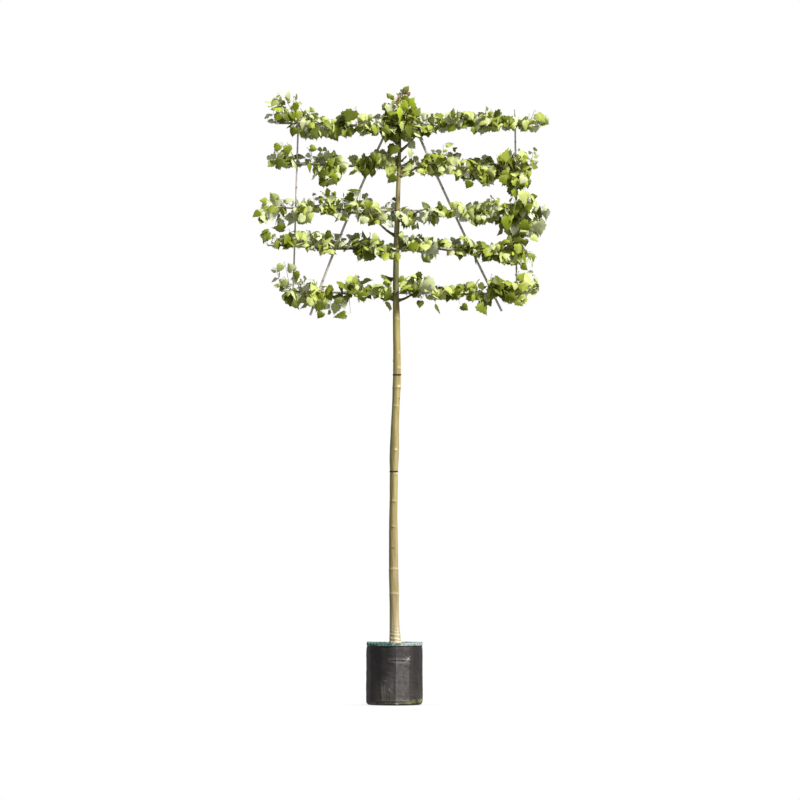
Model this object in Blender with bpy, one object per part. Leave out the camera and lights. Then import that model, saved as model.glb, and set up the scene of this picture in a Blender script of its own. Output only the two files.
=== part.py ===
"""Pleached lime sapling in a woven nursery bag.

The stem stands on the top of its root ball, which fills a round bag of woven plastic. High on the
stem five pairs of side boughs are trained flat along a light frame of bamboo canes, one pair to a
cane. Each half tier is one mass of foliage: a leading stem laid along the cane, shoots that leave
it at named places, and leaves on the shoots. A last mass carries on from the tip of the stem.

Metres, +Z up, +X to the right along the canes, +Y to the back of the frame. The origin is the
middle of the underside of the bag.
"""
import math
import random

import bmesh
import bpy
from mathutils import Vector
from mathutils.bvhtree import BVHTree

GAP = 0.0003                # clearance between pieces that touch
LEAF_CLEARANCE = 0.0007     # least room between a leaf or shoot and anything that isn't its own mass

# Nursery bag and what fills it
BAG_RADIUS = 0.1795
BAG_HEIGHT = 0.388
BAG_WALL = 0.003
BAG_FOOT_ROUND = 0.022
BAG_SIDES = 22
BAG_FOOT_STEPS = 3
HEM_OUTSIDE = 0.024         # how far the stitched hem reaches down the outside
HEM_INSIDE = 0.014
HEM_THICKNESS = 0.0022
SOIL_CROWN = 0.006          # how much the soil rises from the wall to the stem

# Stem: height above the ground, sideways offset, diameter
STEM = (
    (0.370, -0.002, 0.0700),
    (0.400, -0.003, 0.0640),
    (0.470, -0.005, 0.0570),
    (0.620, -0.007, 0.0545),
    (0.950, -0.008, 0.0525),
    (1.300, -0.008, 0.0500),
    (1.560, -0.006, 0.0500),
    (1.760, -0.001, 0.0485),
    (1.900, 0.005, 0.0470),
    (2.100, 0.010, 0.0450),
    (2.420, 0.010, 0.0410),
    (2.700, 0.009, 0.0370),
    (2.950, 0.014, 0.0340),
    (3.180, 0.021, 0.0295),
    (3.400, 0.029, 0.0250),
    (3.605, 0.034, 0.0180),
    (3.700, 0.037, 0.0140),
)
STEM_SIDES = 10
STEM_STEP = 0.16
LEAF_SCARS = (0.845, 1.110, 1.268, 1.597, 1.874, 1.994, 2.290)
SCAR_SWELL = 0.0014
SCAR_HALF_HEIGHT = 0.011
STEM_BEND_BACK = 0.006      # bow of the lower stem, front to back
STEM_TIE_HEIGHTS = (1.467, 2.077)
STEM_TIE_HEIGHT = 0.008
STEM_TIE_THICKNESS = 0.0016

# Cane frame: tier 1 is the highest
TIER_HEIGHTS = (3.657, 3.393, 3.115, 2.870, 2.592)
TIER_LIFT_LEFT = (0.019, 0.030, 0.026, 0.030, 0.026)    # rise of each cane to its left end
CANE_LEFT, CANE_RIGHT = -0.797, 0.815
CANE_RADIUS = 0.0060
CANE_FRONT = 0.0212         # the plane that the stem and the boughs lie against
UPRIGHT_RADIUS = 0.0058
UPRIGHTS = (                # name, top x and z, bottom x and z
    ("upright_cane_left", (-0.607, 3.702), (-0.641, 2.548)),
    ("upright_cane_right", (0.762, 3.757), (0.772, 2.536)),
)
BRACE_RADIUS = 0.0080
BRACE_STEPS = 4
BRACES = (                  # name, top x and z, bottom x and z, sideways bow at the middle
    ("brace_cane_left", (-0.016, 3.692), (-0.532, 2.454), -0.020),
    ("brace_cane_right", (0.110, 3.692), (0.677, 2.480), -0.010),
)
CANE_SIDES = 6
CANE_STEPS = 4
TIER_TIE_WIRE = 0.0016
TIER_TIE_STEPS = 12

# Boughs: where each leaves the stem and how far its tip is out and up from there
BOUGH_ROOT_RADIUS = 0.0098
BOUGH_TIP_RADIUS = 0.0066
BOUGH_SIDES = 7
BOUGHS = {                  # tier: (root height, run, rise) on the left, then on the right
    1: ((3.535, 0.066, 0.056), (3.490, 0.066, 0.068)),
    2: ((3.425, 0.080, 0.034), (3.330, 0.070, 0.036)),
    3: ((2.952, 0.082, 0.070), (3.052, 0.084, 0.036)),
    4: ((2.826, 0.080, 0.046), (2.905, 0.088, 0.004)),
    5: ((2.552, 0.078, 0.034), (2.545, 0.070, 0.032)),
}

# Side shoots of each half tier, in millimetres: distance from the stem, rise above the cane,
# hang below it. The leading stem of the half tier ends at the last of them.
SHOOTS = {
    ("left", 1): ((50, 60, 110), (132, 72, 82), (300, 96, 118), (442, 54, 100), (534, 100, 136),
                  (640, 108, 98), (722, 200, 40), (800, 150, 26)),
    ("right", 1): ((64, 90, 110), (172, 100, 88), (306, 112, 44), (450, 94, 68), (596, 112, 58),
                   (716, 74, 64), (806, 100, 66), (900, 82, 16)),
    ("left", 2): ((68, 86, 112), (212, 88, 112), (336, 112, 20), (444, 104, 134),
                  (562, 118, 72), (680, 90, 36), (782, 108, 60)),
    ("right", 2): ((92, 120, 72), (222, 112, 98), (334, 132, 84), (472, 84, 126),
                   (598, 70, 140), (712, 134, 184), (812, 124, 20)),
    ("left", 3): ((118, 14, 152), (230, 138, 102), (356, 124, 104), (456, 142, 70),
                  (602, 70, 116), (770, 124, 110), (872, 50, 92)),
    ("right", 3): ((72, 34, 122), (190, 56, 108), (326, 76, 70), (462, 64, 108),
                   (574, 126, 108), (716, 136, 136), (848, 116, 212)),
    ("left", 4): ((42, 66, 78), (178, 118, 96), (316, 124, 16), (448, 92, 94),
                  (606, 118, 36), (722, 126, 124), (824, 112, 6)),
    ("right", 4): ((82, 122, 38), (188, 124, 96), (344, 88, 46), (434, 110, 76),
                   (570, 56, 100), (696, 124, 132), (812, 128, 134), (902, 150, 0)),
    ("left", 5): ((44, 76, 66), (150, 64, 76), (264, 126, 82), (382, 82, 170),
                  (502, 90, 174), (628, 108, 140), (716, 160, 78)),
    ("right", 5): ((70, 104, 8), (160, 118, 90), (270, 70, 128), (396, 68, 104),
                   (560, 118, 140), (700, 88, 88), (816, 176, 92)),
}
SHOOT_HALF_WIDTH = 0.082    # a side shoot's leaves keep this near it along the cane
SHOOT_SPACING = 0.098       # one shoot for each of these in a place's rise and hang
CROWN_DEPTH = 0.155         # how far leaves stand forward and back of the canes
FOLIAGE_STEM_SIDES = 4
FOLIAGE_STEM_RADIUS = 0.0060
FOLIAGE_STEM_TIP_RADIUS = 0.0040
STEM_STRAIGHT = 0.016       # of a leading stem, on from its bough
STEM_SETTLE = 0.200         # along the cane, until a leading stem lies on it
STEM_STEPS = 7
SHOOT_RADIUS = 0.0021
SHOOT_TIP_RADIUS = 0.0017

# Leaves: a heart-shaped blade, folded along its midrib, on a thin stalk
LEAF_LENGTH = (0.084, 0.124)
YOUNG_LEAF_SCALE = 0.76     # leaves on shoots that rise well above the cane
LEAF_WIDTH = 0.92           # of the blade's length, as are the next six
LEAF_SHOULDER = 0.30        # from the stalk to the widest place
LEAF_LOBE_BACK = 0.10       # how far a lobe reaches back past the stalk
LEAF_LOBE_SIDE = 0.27
LEAF_FOLD = 0.09            # how far the edges drop below the midrib
LEAF_THICKNESS = 0.030
STALK_LENGTH = 0.36
STALK_RADII = (0.0005, 0.0009)      # where it leaves its limb and at the blade
BLADE_CORNERS, BLADE_FACES = 6, 13
LEAF_TRIES = 60
SHOOT_LEAF_ROOTS = (0.64, 0.28)     # along a shoot, below its tip leaf
STEM_LEAVES = 3             # leaves of each place that stand on the leading stem itself

# Leader: height above the tip of the stem, reach to the left and to the right, in millimetres
LEADER_TIP = (0.054, 0.150)  # sideways place and height above the tip of the stem
LEADER_SHOOTS = ((-52, 92, 112), (0, 104, 118), (50, 94, 114), (98, 84, 100), (140, 46, 56))
LEADER_HALF_HEIGHT = 0.072
LEADER_SPACING = 0.045
LEADER_TOP_LEAF = 0.042     # how far the top leaf stands above the tip of the leading stem
LEADER_DEPTH = 0.140
LEADER_LEAF_SCALE = 0.80


def clear_scene():
    for ob in list(bpy.data.objects):
        bpy.data.objects.remove(ob, do_unlink=True)


def finish(name, colour, roughness, metallic=0.0):
    material = bpy.data.materials.new(name)
    material.use_nodes = True
    shader = material.node_tree.nodes["Principled BSDF"]
    shader.inputs["Base Color"].default_value = (*colour, 1.0)
    shader.inputs["Roughness"].default_value = roughness
    shader.inputs["Metallic"].default_value = metallic
    return material


def add_object(name, bm, material=None, smooth=True):
    bmesh.ops.recalc_face_normals(bm, faces=bm.faces)
    mesh = bpy.data.meshes.new(name)
    bm.to_mesh(mesh)
    bm.free()
    if smooth:
        mesh.shade_smooth()
        mesh.set_sharp_from_angle(angle=math.radians(40))
    if material:
        mesh.materials.append(material)
    ob = bpy.data.objects.new(name, mesh)
    bpy.context.scene.collection.objects.link(ob)
    return ob


def turned(name, profile, sides, material):
    """A body of revolution: the outline of its section, as radius and height, spun about Z."""
    bm = bmesh.new()
    verts = [bm.verts.new((radius, 0.0, z)) for radius, z in profile]
    edges = [bm.edges.new(pair) for pair in zip(verts, verts[1:] + verts[:1])]
    edges = [e for e in edges if max(v.co.x for v in e.verts) > 0]
    bmesh.ops.spin(
        bm, geom=verts + edges, cent=(0, 0, 0), axis=(0, 0, 1), angle=math.tau,
        steps=sides, use_merge=True, use_duplicate=False,
    )
    bmesh.ops.remove_doubles(bm, verts=bm.verts, dist=1e-6)
    loose = [e for e in bm.edges if not e.link_faces]
    bmesh.ops.delete(bm, geom=loose, context="EDGES")
    return add_object(name, bm, material)


def arc(centre, radius, start, end, steps):
    """Points of an arc in a turned section, from one angle in degrees to another."""
    angles = [math.radians(start + (end - start) * i / steps) for i in range(steps + 1)]
    return [(centre[0] + radius * math.cos(a), centre[1] + radius * math.sin(a)) for a in angles]


def tube(bm, points, radii, sides, face=(0, 1, 0)):
    """A closed tapering tube through the points. One corner of each ring looks towards face."""
    rings = []
    for i, point in enumerate(points):
        along = points[min(i + 1, len(points) - 1)] - points[max(i - 1, 0)]
        along.normalize()
        first = Vector(face) - along * along.dot(Vector(face))
        first.normalize()
        second = along.cross(first)
        ring = []
        for k in range(sides):
            a = math.tau * k / sides
            ring.append(bm.verts.new(point + radii[i] * (math.cos(a) * first + math.sin(a) * second)))
        rings.append(ring)
    for low, high in zip(rings, rings[1:]):
        for k in range(sides):
            bm.faces.new((low[k], low[(k + 1) % sides], high[(k + 1) % sides], high[k]))
    bm.faces.new(rings[0][::-1])
    bm.faces.new(rings[-1])


def lerp(a, b, t):
    return a + (b - a) * t


def stem_row(z):
    """Sideways offset and diameter of the stem at a height, on a smooth curve through STEM."""
    if z <= STEM[0][0]:
        return STEM[0][1:]
    if z >= STEM[-1][0]:
        return STEM[-1][1:]
    k = next(i for i in range(len(STEM) - 1) if STEM[i + 1][0] >= z)
    before, low, high, after = (STEM[min(max(i, 0), len(STEM) - 1)] for i in range(k - 1, k + 3))
    t = (z - low[0]) / (high[0] - low[0])
    row = []
    for c in (1, 2):
        slope_low = (high[c] - before[c]) / (high[0] - before[0]) * (high[0] - low[0])
        slope_high = (after[c] - low[c]) / (after[0] - low[0]) * (high[0] - low[0])
        row.append(
            (2 * t**3 - 3 * t**2 + 1) * low[c] + (t**3 - 2 * t**2 + t) * slope_low
            + (3 * t**2 - 2 * t**3) * high[c] + (t**3 - t**2) * slope_high
        )
    return tuple(row)


def stem_radius(z):
    swell = max(max(0.0, 1 - abs(z - scar) / SCAR_HALF_HEIGHT) for scar in LEAF_SCARS)
    return stem_row(z)[1] / 2 + SCAR_SWELL * swell


def stem_centre(z):
    """The stem's axis: bowed below the frame, and drawn back against the canes within it."""
    x, diameter = stem_row(z)
    held = CANE_FRONT - GAP - diameter / 2
    foot, frame = STEM[0][0], TIER_HEIGHTS[-1] - 0.12
    if z >= frame:
        return Vector((x, held, z))
    t = (z - foot) / (frame - foot)
    held_at_frame = CANE_FRONT - GAP - stem_row(frame)[1] / 2
    return Vector((x, held_at_frame * t - STEM_BEND_BACK * math.sin(math.tau * 0.9 * t), z))


def stem_heights():
    foot, tip = STEM[0][0], STEM[-1][0]
    count = round((tip - foot) / STEM_STEP)
    heights = [lerp(foot, tip, i / count) for i in range(count + 1)] + [row[0] for row in STEM[1:4]]
    for scar in LEAF_SCARS:
        heights = [z for z in heights if abs(z - scar) > 1.6 * SCAR_HALF_HEIGHT]
        heights += [scar - SCAR_HALF_HEIGHT, scar, scar + SCAR_HALF_HEIGHT]
    heights += list(TIER_HEIGHTS)
    heights += [z + half for z in STEM_TIE_HEIGHTS for half in (-STEM_TIE_HEIGHT / 2, STEM_TIE_HEIGHT / 2)]
    return sorted(set(heights))


def stem_mesh(grow=0.0):
    """The stem in level rings. grow widens it, for the tool that fits the boughs to it."""
    bm = bmesh.new()
    rings = []
    for z in stem_heights():
        centre, radius = stem_centre(z), stem_radius(z) + grow
        ring = []
        for k in range(STEM_SIDES):
            a = math.tau * k / STEM_SIDES
            ring.append(bm.verts.new(centre + radius * Vector((math.cos(a), math.sin(a), 0))))
        rings.append(ring)
    for low, high in zip(rings, rings[1:]):
        for k in range(STEM_SIDES):
            bm.faces.new((low[k], low[(k + 1) % STEM_SIDES], high[(k + 1) % STEM_SIDES], high[k]))
    bm.faces.new(rings[0][::-1])
    bm.faces.new(rings[-1])
    return bm


def build_bag():
    woven = finish("woven_black_plastic", (0.022, 0.021, 0.022), 0.55)
    outer, inner, foot = BAG_RADIUS, BAG_RADIUS - BAG_WALL, BAG_FOOT_ROUND
    profile = [(0, 0)] + arc((outer - foot, foot), foot, -90, 0, BAG_FOOT_STEPS) + [
        (outer, BAG_HEIGHT * 0.5), (outer, BAG_HEIGHT), (inner, BAG_HEIGHT),
    ] + arc((outer - foot, foot), foot - BAG_WALL, 0, -90, BAG_FOOT_STEPS) + [(0, BAG_WALL)]
    turned("root_bag", profile, BAG_SIDES, woven)


def build_root_ball():
    soil = finish("dark_potting_soil", (0.045, 0.030, 0.020), 0.95)
    clear = 1.05 * GAP / math.cos(math.pi / BAG_SIDES)
    wall, low = BAG_RADIUS - BAG_WALL - clear, BAG_WALL + clear
    top = STEM[0][0] - GAP
    edge = top - SOIL_CROWN
    flat = STEM[0][2] / 2 + 0.012
    corner = BAG_RADIUS - BAG_FOOT_ROUND, BAG_FOOT_ROUND
    round_foot = arc(corner, BAG_FOOT_ROUND - BAG_WALL - clear, -90, 0, BAG_FOOT_STEPS)
    profile = [(0, low)] + round_foot + [(wall, edge), (lerp(wall, flat, 0.5), edge + SOIL_CROWN * 0.6)]
    turned("root_ball", profile + [(flat, top), (0, top)], BAG_SIDES, soil)


def build_hem():
    """The folded edge that is stitched over the bag's rim: an upside-down U in section."""
    thread = finish("sea_green_overlock_thread", (0.075, 0.255, 0.215), 0.75)
    facet = math.cos(math.pi / BAG_SIDES)
    out = BAG_RADIUS + GAP / facet
    within = BAG_RADIUS - BAG_WALL - GAP / facet
    over = BAG_HEIGHT + GAP
    profile = [
        (out, BAG_HEIGHT - HEM_OUTSIDE), (out + HEM_THICKNESS, BAG_HEIGHT - HEM_OUTSIDE),
        (out + HEM_THICKNESS, over + HEM_THICKNESS * 0.4), (out, over + HEM_THICKNESS),
        (within, over + HEM_THICKNESS), (within - HEM_THICKNESS, over + HEM_THICKNESS * 0.4),
        (within - HEM_THICKNESS, BAG_HEIGHT - HEM_INSIDE), (within, BAG_HEIGHT - HEM_INSIDE),
        (within, over), (out, over),
    ]
    turned("bag_hem", profile, BAG_SIDES, thread)


def build_stem():
    bark = finish("smooth_lime_bark", (0.330, 0.255, 0.120), 0.8)
    return add_object("trunk", stem_mesh(), bark)


def build_stem_ties():
    tie = finish("dark_tree_tie", (0.03, 0.028, 0.025), 0.7)
    for name, z in zip(("stem_tie_lower", "stem_tie_upper"), STEM_TIE_HEIGHTS):
        half = STEM_TIE_HEIGHT / 2
        facet = math.cos(math.pi / STEM_SIDES)
        within = max(stem_radius(z - half), stem_radius(z + half)) + GAP / facet
        drift = (stem_centre(z + half) - stem_centre(z - half)).length_squared - STEM_TIE_HEIGHT**2
        within += math.sqrt(max(drift, 0.0)) / 2
        out = within + STEM_TIE_THICKNESS
        band = turned(name, [(within, -half), (out, -half), (out, half), (within, half)], STEM_SIDES, tie)
        band.location = stem_centre(z)


def cane_point(tier, x):
    """The middle of a tier's cane at x. It is straight on the right and rises to the left."""
    lift = TIER_LIFT_LEFT[tier - 1] * max(0.0, x / CANE_LEFT) ** 1.3
    return Vector((x, CANE_FRONT + CANE_RADIUS, TIER_HEIGHTS[tier - 1] + lift))


def cane_path(tier):
    return [cane_point(tier, lerp(CANE_LEFT, CANE_RIGHT, i / CANE_STEPS)) for i in range(CANE_STEPS + 1)]


def build_frame():
    """Canes of the frame: five level ones, two uprights and two braces behind them."""
    bamboo = finish("weathered_bamboo", (0.36, 0.32, 0.26), 0.6)
    rods = []
    for tier in range(1, len(TIER_HEIGHTS) + 1):
        path = cane_path(tier)
        rods.append((f"level_cane_{tier}", path, [CANE_RADIUS] * len(path)))
    back = CANE_FRONT + 2 * CANE_RADIUS + GAP
    for name, top, bottom in UPRIGHTS:
        path = [Vector((lerp(top[0], bottom[0], t), back + UPRIGHT_RADIUS, lerp(top[1], bottom[1], t)))
                for t in (0, 0.5, 1)]
        rods.append((name, path, [UPRIGHT_RADIUS] * 3))
    for name, top, bottom, bow in BRACES:
        path = []
        for i in range(BRACE_STEPS + 1):
            t = i / BRACE_STEPS
            sideways = lerp(top[0], bottom[0], t) + bow * 4 * t * (1 - t)
            path.append(Vector((sideways, back + BRACE_RADIUS, lerp(top[1], bottom[1], t))))
        rods.append((name, path, [BRACE_RADIUS] * len(path)))
    for name, path, radii in rods:
        bm = bmesh.new()
        tube(bm, path, radii, CANE_SIDES)
        add_object(name, bm, bamboo)


def build_tier_ties():
    """A wire loop that lashes each cane to the stem: round the front, over one side of the cane
    and under the other."""
    wire = finish("rusted_tying_wire", (0.06, 0.045, 0.035), 0.6)
    steps = TIER_TIE_STEPS
    for tier, z in enumerate(TIER_HEIGHTS, 1):
        centre, radius = stem_centre(z), stem_radius(z)
        room = TIER_TIE_WIRE + GAP + 0.0012
        front, back = centre.y - radius - room, CANE_FRONT + 2 * CANE_RADIUS + room
        half_width = (radius + room) * 1.12
        cane = cane_point(tier, centre.x)
        tilt = (CANE_RADIUS + room + 0.003) / half_width
        loop = []
        for i in range(steps):
            a = math.tau * i / steps
            x, y = half_width * math.cos(a), lerp(front, back, 0.5 + 0.5 * math.sin(a))
            loop.append(Vector((centre.x + x, y, cane.z + x * tilt)))
        bm = bmesh.new()
        rings = []
        for i in range(steps):
            along = (loop[(i + 1) % steps] - loop[i - 1]).normalized()
            side = along.cross(Vector((0, 0, 1))).normalized()
            up = side.cross(along)
            corners = ((1, 0), (-0.5, 0.87), (-0.5, -0.87))
            rings.append([bm.verts.new(loop[i] + TIER_TIE_WIRE * (c * side + s * up)) for c, s in corners])
        for i in range(steps):
            low, high = rings[i], rings[(i + 1) % steps]
            for k in range(3):
                bm.faces.new((low[k], low[(k + 1) % 3], high[(k + 1) % 3], high[k]))
        add_object(f"tier_tie_{tier}", bm, wire)


def join_by_boolean(target, operation, others, solver="EXACT"):
    """Applies one Boolean with a collection of objects, then removes them."""
    group = bpy.data.collections.new("operands")
    for ob in others:
        group.objects.link(ob)
    modifier = target.modifiers.new("join", "BOOLEAN")
    modifier.operation = operation
    modifier.operand_type = "COLLECTION"
    modifier.collection = group
    modifier.solver = solver
    evaluated = target.evaluated_get(bpy.context.evaluated_depsgraph_get())
    joined = bpy.data.meshes.new_from_object(evaluated)
    target.modifiers.clear()
    target.data = joined
    for ob in others:
        bpy.data.objects.remove(ob, do_unlink=True)
    bpy.data.collections.remove(group)


def bough_path(side, tier):
    """From the stem's axis out to the bough's tip, easing back against the cane."""
    height, run, rise = BOUGHS[tier][side == "right"]
    out = 1 if side == "right" else -1
    start = stem_centre(height)
    surface = stem_radius(height)
    end = Vector((start.x + out * (surface + run), CANE_FRONT - BOUGH_TIP_RADIUS - GAP - 0.0006, height + rise))
    path = []
    for i in range(6):
        t = i / 5
        sag = 0.10 * run * math.sin(math.pi * t)
        path.append(Vector((lerp(start.x, end.x, t), lerp(start.y, end.y, t), lerp(start.z, end.z, t) - sag)))
    return path


def build_boughs():
    bark = finish("young_lime_bark", (0.13, 0.11, 0.045), 0.75)
    for tier in BOUGHS:
        for side in ("left", "right"):
            path = bough_path(side, tier)
            radii = [lerp(BOUGH_ROOT_RADIUS, BOUGH_TIP_RADIUS, i / 5) for i in range(6)]
            bm = bmesh.new()
            tube(bm, path, radii, BOUGH_SIDES)
            bough = add_object(f"bough_{side}_{tier}", bm, bark)
            fitting = add_object("stem_shape", stem_mesh(GAP))
            join_by_boolean(bough, "DIFFERENCE", [fitting])
            bough.data.shade_smooth()
            bough.data.set_sharp_from_angle(angle=math.radians(40))


def leading_stem(side, tier):
    """The line that a half tier's foliage grows from: straight on from the bough's tip, then
    curving to the cane and along the front of it to the last side shoot."""
    out = 1 if side == "right" else -1
    before, tip = bough_path(side, tier)[-2:]
    heading = (tip - before).normalized()
    start = tip + heading * GAP * 1.3
    joint = start + heading * STEM_STRAIGHT
    reach = STEM_TOP_X + out * (SHOOTS[side, tier][-1][0] / 1000 - 0.02)
    path = [start, joint]
    for i in range(1, STEM_STEPS + 1):
        t = i / STEM_STEPS
        x = lerp(joint.x, reach, t)
        settle = min(1.0, (x - joint.x) * out / STEM_SETTLE)
        settle = settle * settle * (3 - 2 * settle)
        straight_on = joint + heading * ((x - joint.x) / heading.x) * (1 - settle)
        lie = cane_point(tier, x).z - 0.004 + 0.006 * math.sin(tier * 1.7 + 9 * t)
        front = CANE_FRONT - lerp(FOLIAGE_STEM_RADIUS, FOLIAGE_STEM_TIP_RADIUS, t) - 2 * LEAF_CLEARANCE
        back = lerp(min(straight_on.y, front), front, settle)
        path.append(Vector((x, back, lerp(straight_on.z, lie, settle))))
    return path


def path_point(path, x):
    """The point of a path that runs one way along X, at x."""
    order = sorted(path, key=lambda p: p.x)
    if x <= order[0].x:
        return order[0].copy()
    for a, b in zip(order, order[1:]):
        if x <= b.x:
            return a.lerp(b, (x - a.x) / max(b.x - a.x, 1e-9))
    return order[-1].copy()


def stalked_leaf(line, radii, direction, facing, length, grow=0.0):
    """A leaf on a three-sided stalk or shoot: its corners and faces. The stalk follows a line. The
    blade is a folded heart whose underside is creased from stalk to tip, with the midrib's highest
    point above it. The last thirteen faces are the blade. grow makes it bigger all round, to test
    its room."""
    along = direction.normalized()
    normal = (facing - along * facing.dot(along)).normalized()
    across = along.cross(normal)
    corners, faces = [], [(0, 2, 1)]
    for i, (point, radius) in enumerate(zip(line, radii)):
        tangent = (line[min(i + 1, len(line) - 1)] - line[max(i - 1, 0)]).normalized()
        first = normal - tangent * normal.dot(tangent)
        if first.length < 0.3:
            first = along - tangent * along.dot(tangent)
        first.normalize()
        second = tangent.cross(first)
        if second.dot(across) < 0:
            second = -second
        for turn in (0, 1, 2):
            a = math.tau * turn / 3
            corners.append(point + (radius + grow) * (math.cos(a) * first + math.sin(a) * second))
    for low in range(0, len(corners) - 3, 3):
        for k in range(3):
            a, b = low + k, low + (k + 1) % 3
            faces += [(a, b, b + 3), (a, b + 3, a + 3)]
    neck = line[-1]
    half, thick = length * LEAF_WIDTH / 2 + grow, length * LEAF_THICKNESS + grow
    shoulder = neck + along * length * LEAF_SHOULDER - normal * length * LEAF_FOLD
    lobe = neck - along * (length * LEAF_LOBE_BACK + grow) - normal * length * LEAF_FOLD * 0.7
    lobe_side = length * LEAF_LOBE_SIDE + grow
    top, neck_left, neck_right = range(len(corners) - 3, len(corners))
    lobe_left, lobe_right, left, right, tip, upper = range(len(corners), len(corners) + 6)
    corners += [
        lobe + across * lobe_side, lobe - across * lobe_side, shoulder + across * half,
        shoulder - across * half, neck + along * (length + grow),
        neck + along * length * LEAF_SHOULDER + normal * thick,
    ]
    faces += [
        (top, neck_left, lobe_left), (top, lobe_left, upper), (upper, lobe_left, left),
        (upper, left, tip), (upper, tip, right), (upper, right, lobe_right),
        (top, upper, lobe_right), (top, lobe_right, neck_right),
        (neck_right, lobe_right, right), (neck_right, right, tip), (neck_right, tip, neck_left),
        (neck_left, tip, left), (neck_left, left, lobe_left),
    ]
    return corners, faces


def inside(point, space):
    return all(low <= c <= high for c, (low, high) in zip(point, space))


def touches(corners, faces, keep_out):
    """Whether a leaf meets anything in a list of trees."""
    tree = BVHTree.FromPolygons(corners, faces)
    return any(tree.overlap(other) for other in keep_out)


def shoot_line(start, end, cane):
    """A shoot to a leaf behind the canes first clears its cane, over or under it."""
    if end.y > CANE_FRONT:
        over = 1 if end.z > cane.z else -1
        return [start, Vector((lerp(start.x, end.x, 0.4), CANE_FRONT - 0.004, cane.z + over * 0.021)), end]
    return [start, end]


def crosses_itself(corners, faces):
    tree = BVHTree.FromPolygons(corners, faces)
    return any(not set(faces[a]) & set(faces[b]) for a, b in tree.overlap(tree))


def pick_facing(rng):
    """The way an upper side looks: out of the flat of the frame and somewhat up."""
    return Vector((rng.uniform(-0.7, 0.7), -1 if rng.random() < 0.7 else 1, rng.uniform(0, 1.1)))


def leaves_along(rng, roots, forward, aims, space, scale, keep_out, own_limb):
    """One leaf from each root on a limb, turned until it stays in its space and touches nothing."""
    leaves = []
    for root, aim in zip(roots, aims):
        for attempt in range(LEAF_TRIES):
            length = rng.uniform(*LEAF_LENGTH) * scale
            swing = Vector((rng.uniform(-1, 1), rng.uniform(-1, 1), rng.uniform(-0.4, 0.4)))
            direction = (aim + swing * (0.5 + 0.02 * attempt)).normalized()
            sideways = (swing - forward * forward.dot(swing)).normalized()
            stalk = (forward * 0.3 + sideways + direction * 0.5).normalized()
            neck = root + stalk * length * STALK_LENGTH
            shape = [root, neck], STALK_RADII, direction, pick_facing(rng), length
            leaf, wide = stalked_leaf(*shape), stalked_leaf(*shape, LEAF_CLEARANCE)
            blade = wide[0], wide[1][-BLADE_FACES:]
            if not all(inside(p, space) for p in leaf[0][-BLADE_CORNERS:]) or crosses_itself(*leaf):
                continue
            if not touches(*wide, keep_out) and not touches(*blade, [own_limb]):
                leaves.append(leaf)
                keep_out = keep_out + [BVHTree.FromPolygons(*leaf)]
                break
    return leaves


def leaves_on_shoot(rng, line, aim, space, scale, keep_out):
    forward = (line[-1] - line[-2]).normalized()
    bare = stalked_leaf(line, shoot_radii(line), forward, Vector((0.3, 0.2, 0.93)), 0.004)
    roots = [line[-2].lerp(line[-1], t) for t in SHOOT_LEAF_ROOTS]
    return leaves_along(rng, roots, forward, [aim] * len(roots), space, scale, keep_out,
                        BVHTree.FromPolygons(*bare))


def leaves_on_stem(rng, start_on, space, scale, keep_out, own):
    """Leaves of one place that stand on the leading stem, some up and more of them hanging."""
    (left, right), _, (low, high) = space
    roots, aims = [], []
    for k in range(STEM_LEAVES):
        near = Vector((lerp(left, right, (k + rng.uniform(0.2, 0.8)) / STEM_LEAVES), 0, lerp(low, high, 0.5)))
        roots.append(start_on(near))
        rise = rng.choice((0.7, -0.8, -0.8))
        aims.append(Vector((rng.uniform(-0.6, 0.6), rng.choice((-0.4, 0.4)), rise)))
    forward = (start_on(Vector((right, 0, high))) - start_on(Vector((left, 0, low)))).normalized()
    return leaves_along(rng, roots, forward, aims, space, scale, keep_out + own[1:], own[0])


def shoot_radii(line):
    return [lerp(SHOOT_RADIUS, SHOOT_TIP_RADIUS, i / (len(line) - 1)) for i in range(len(line))]


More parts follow.
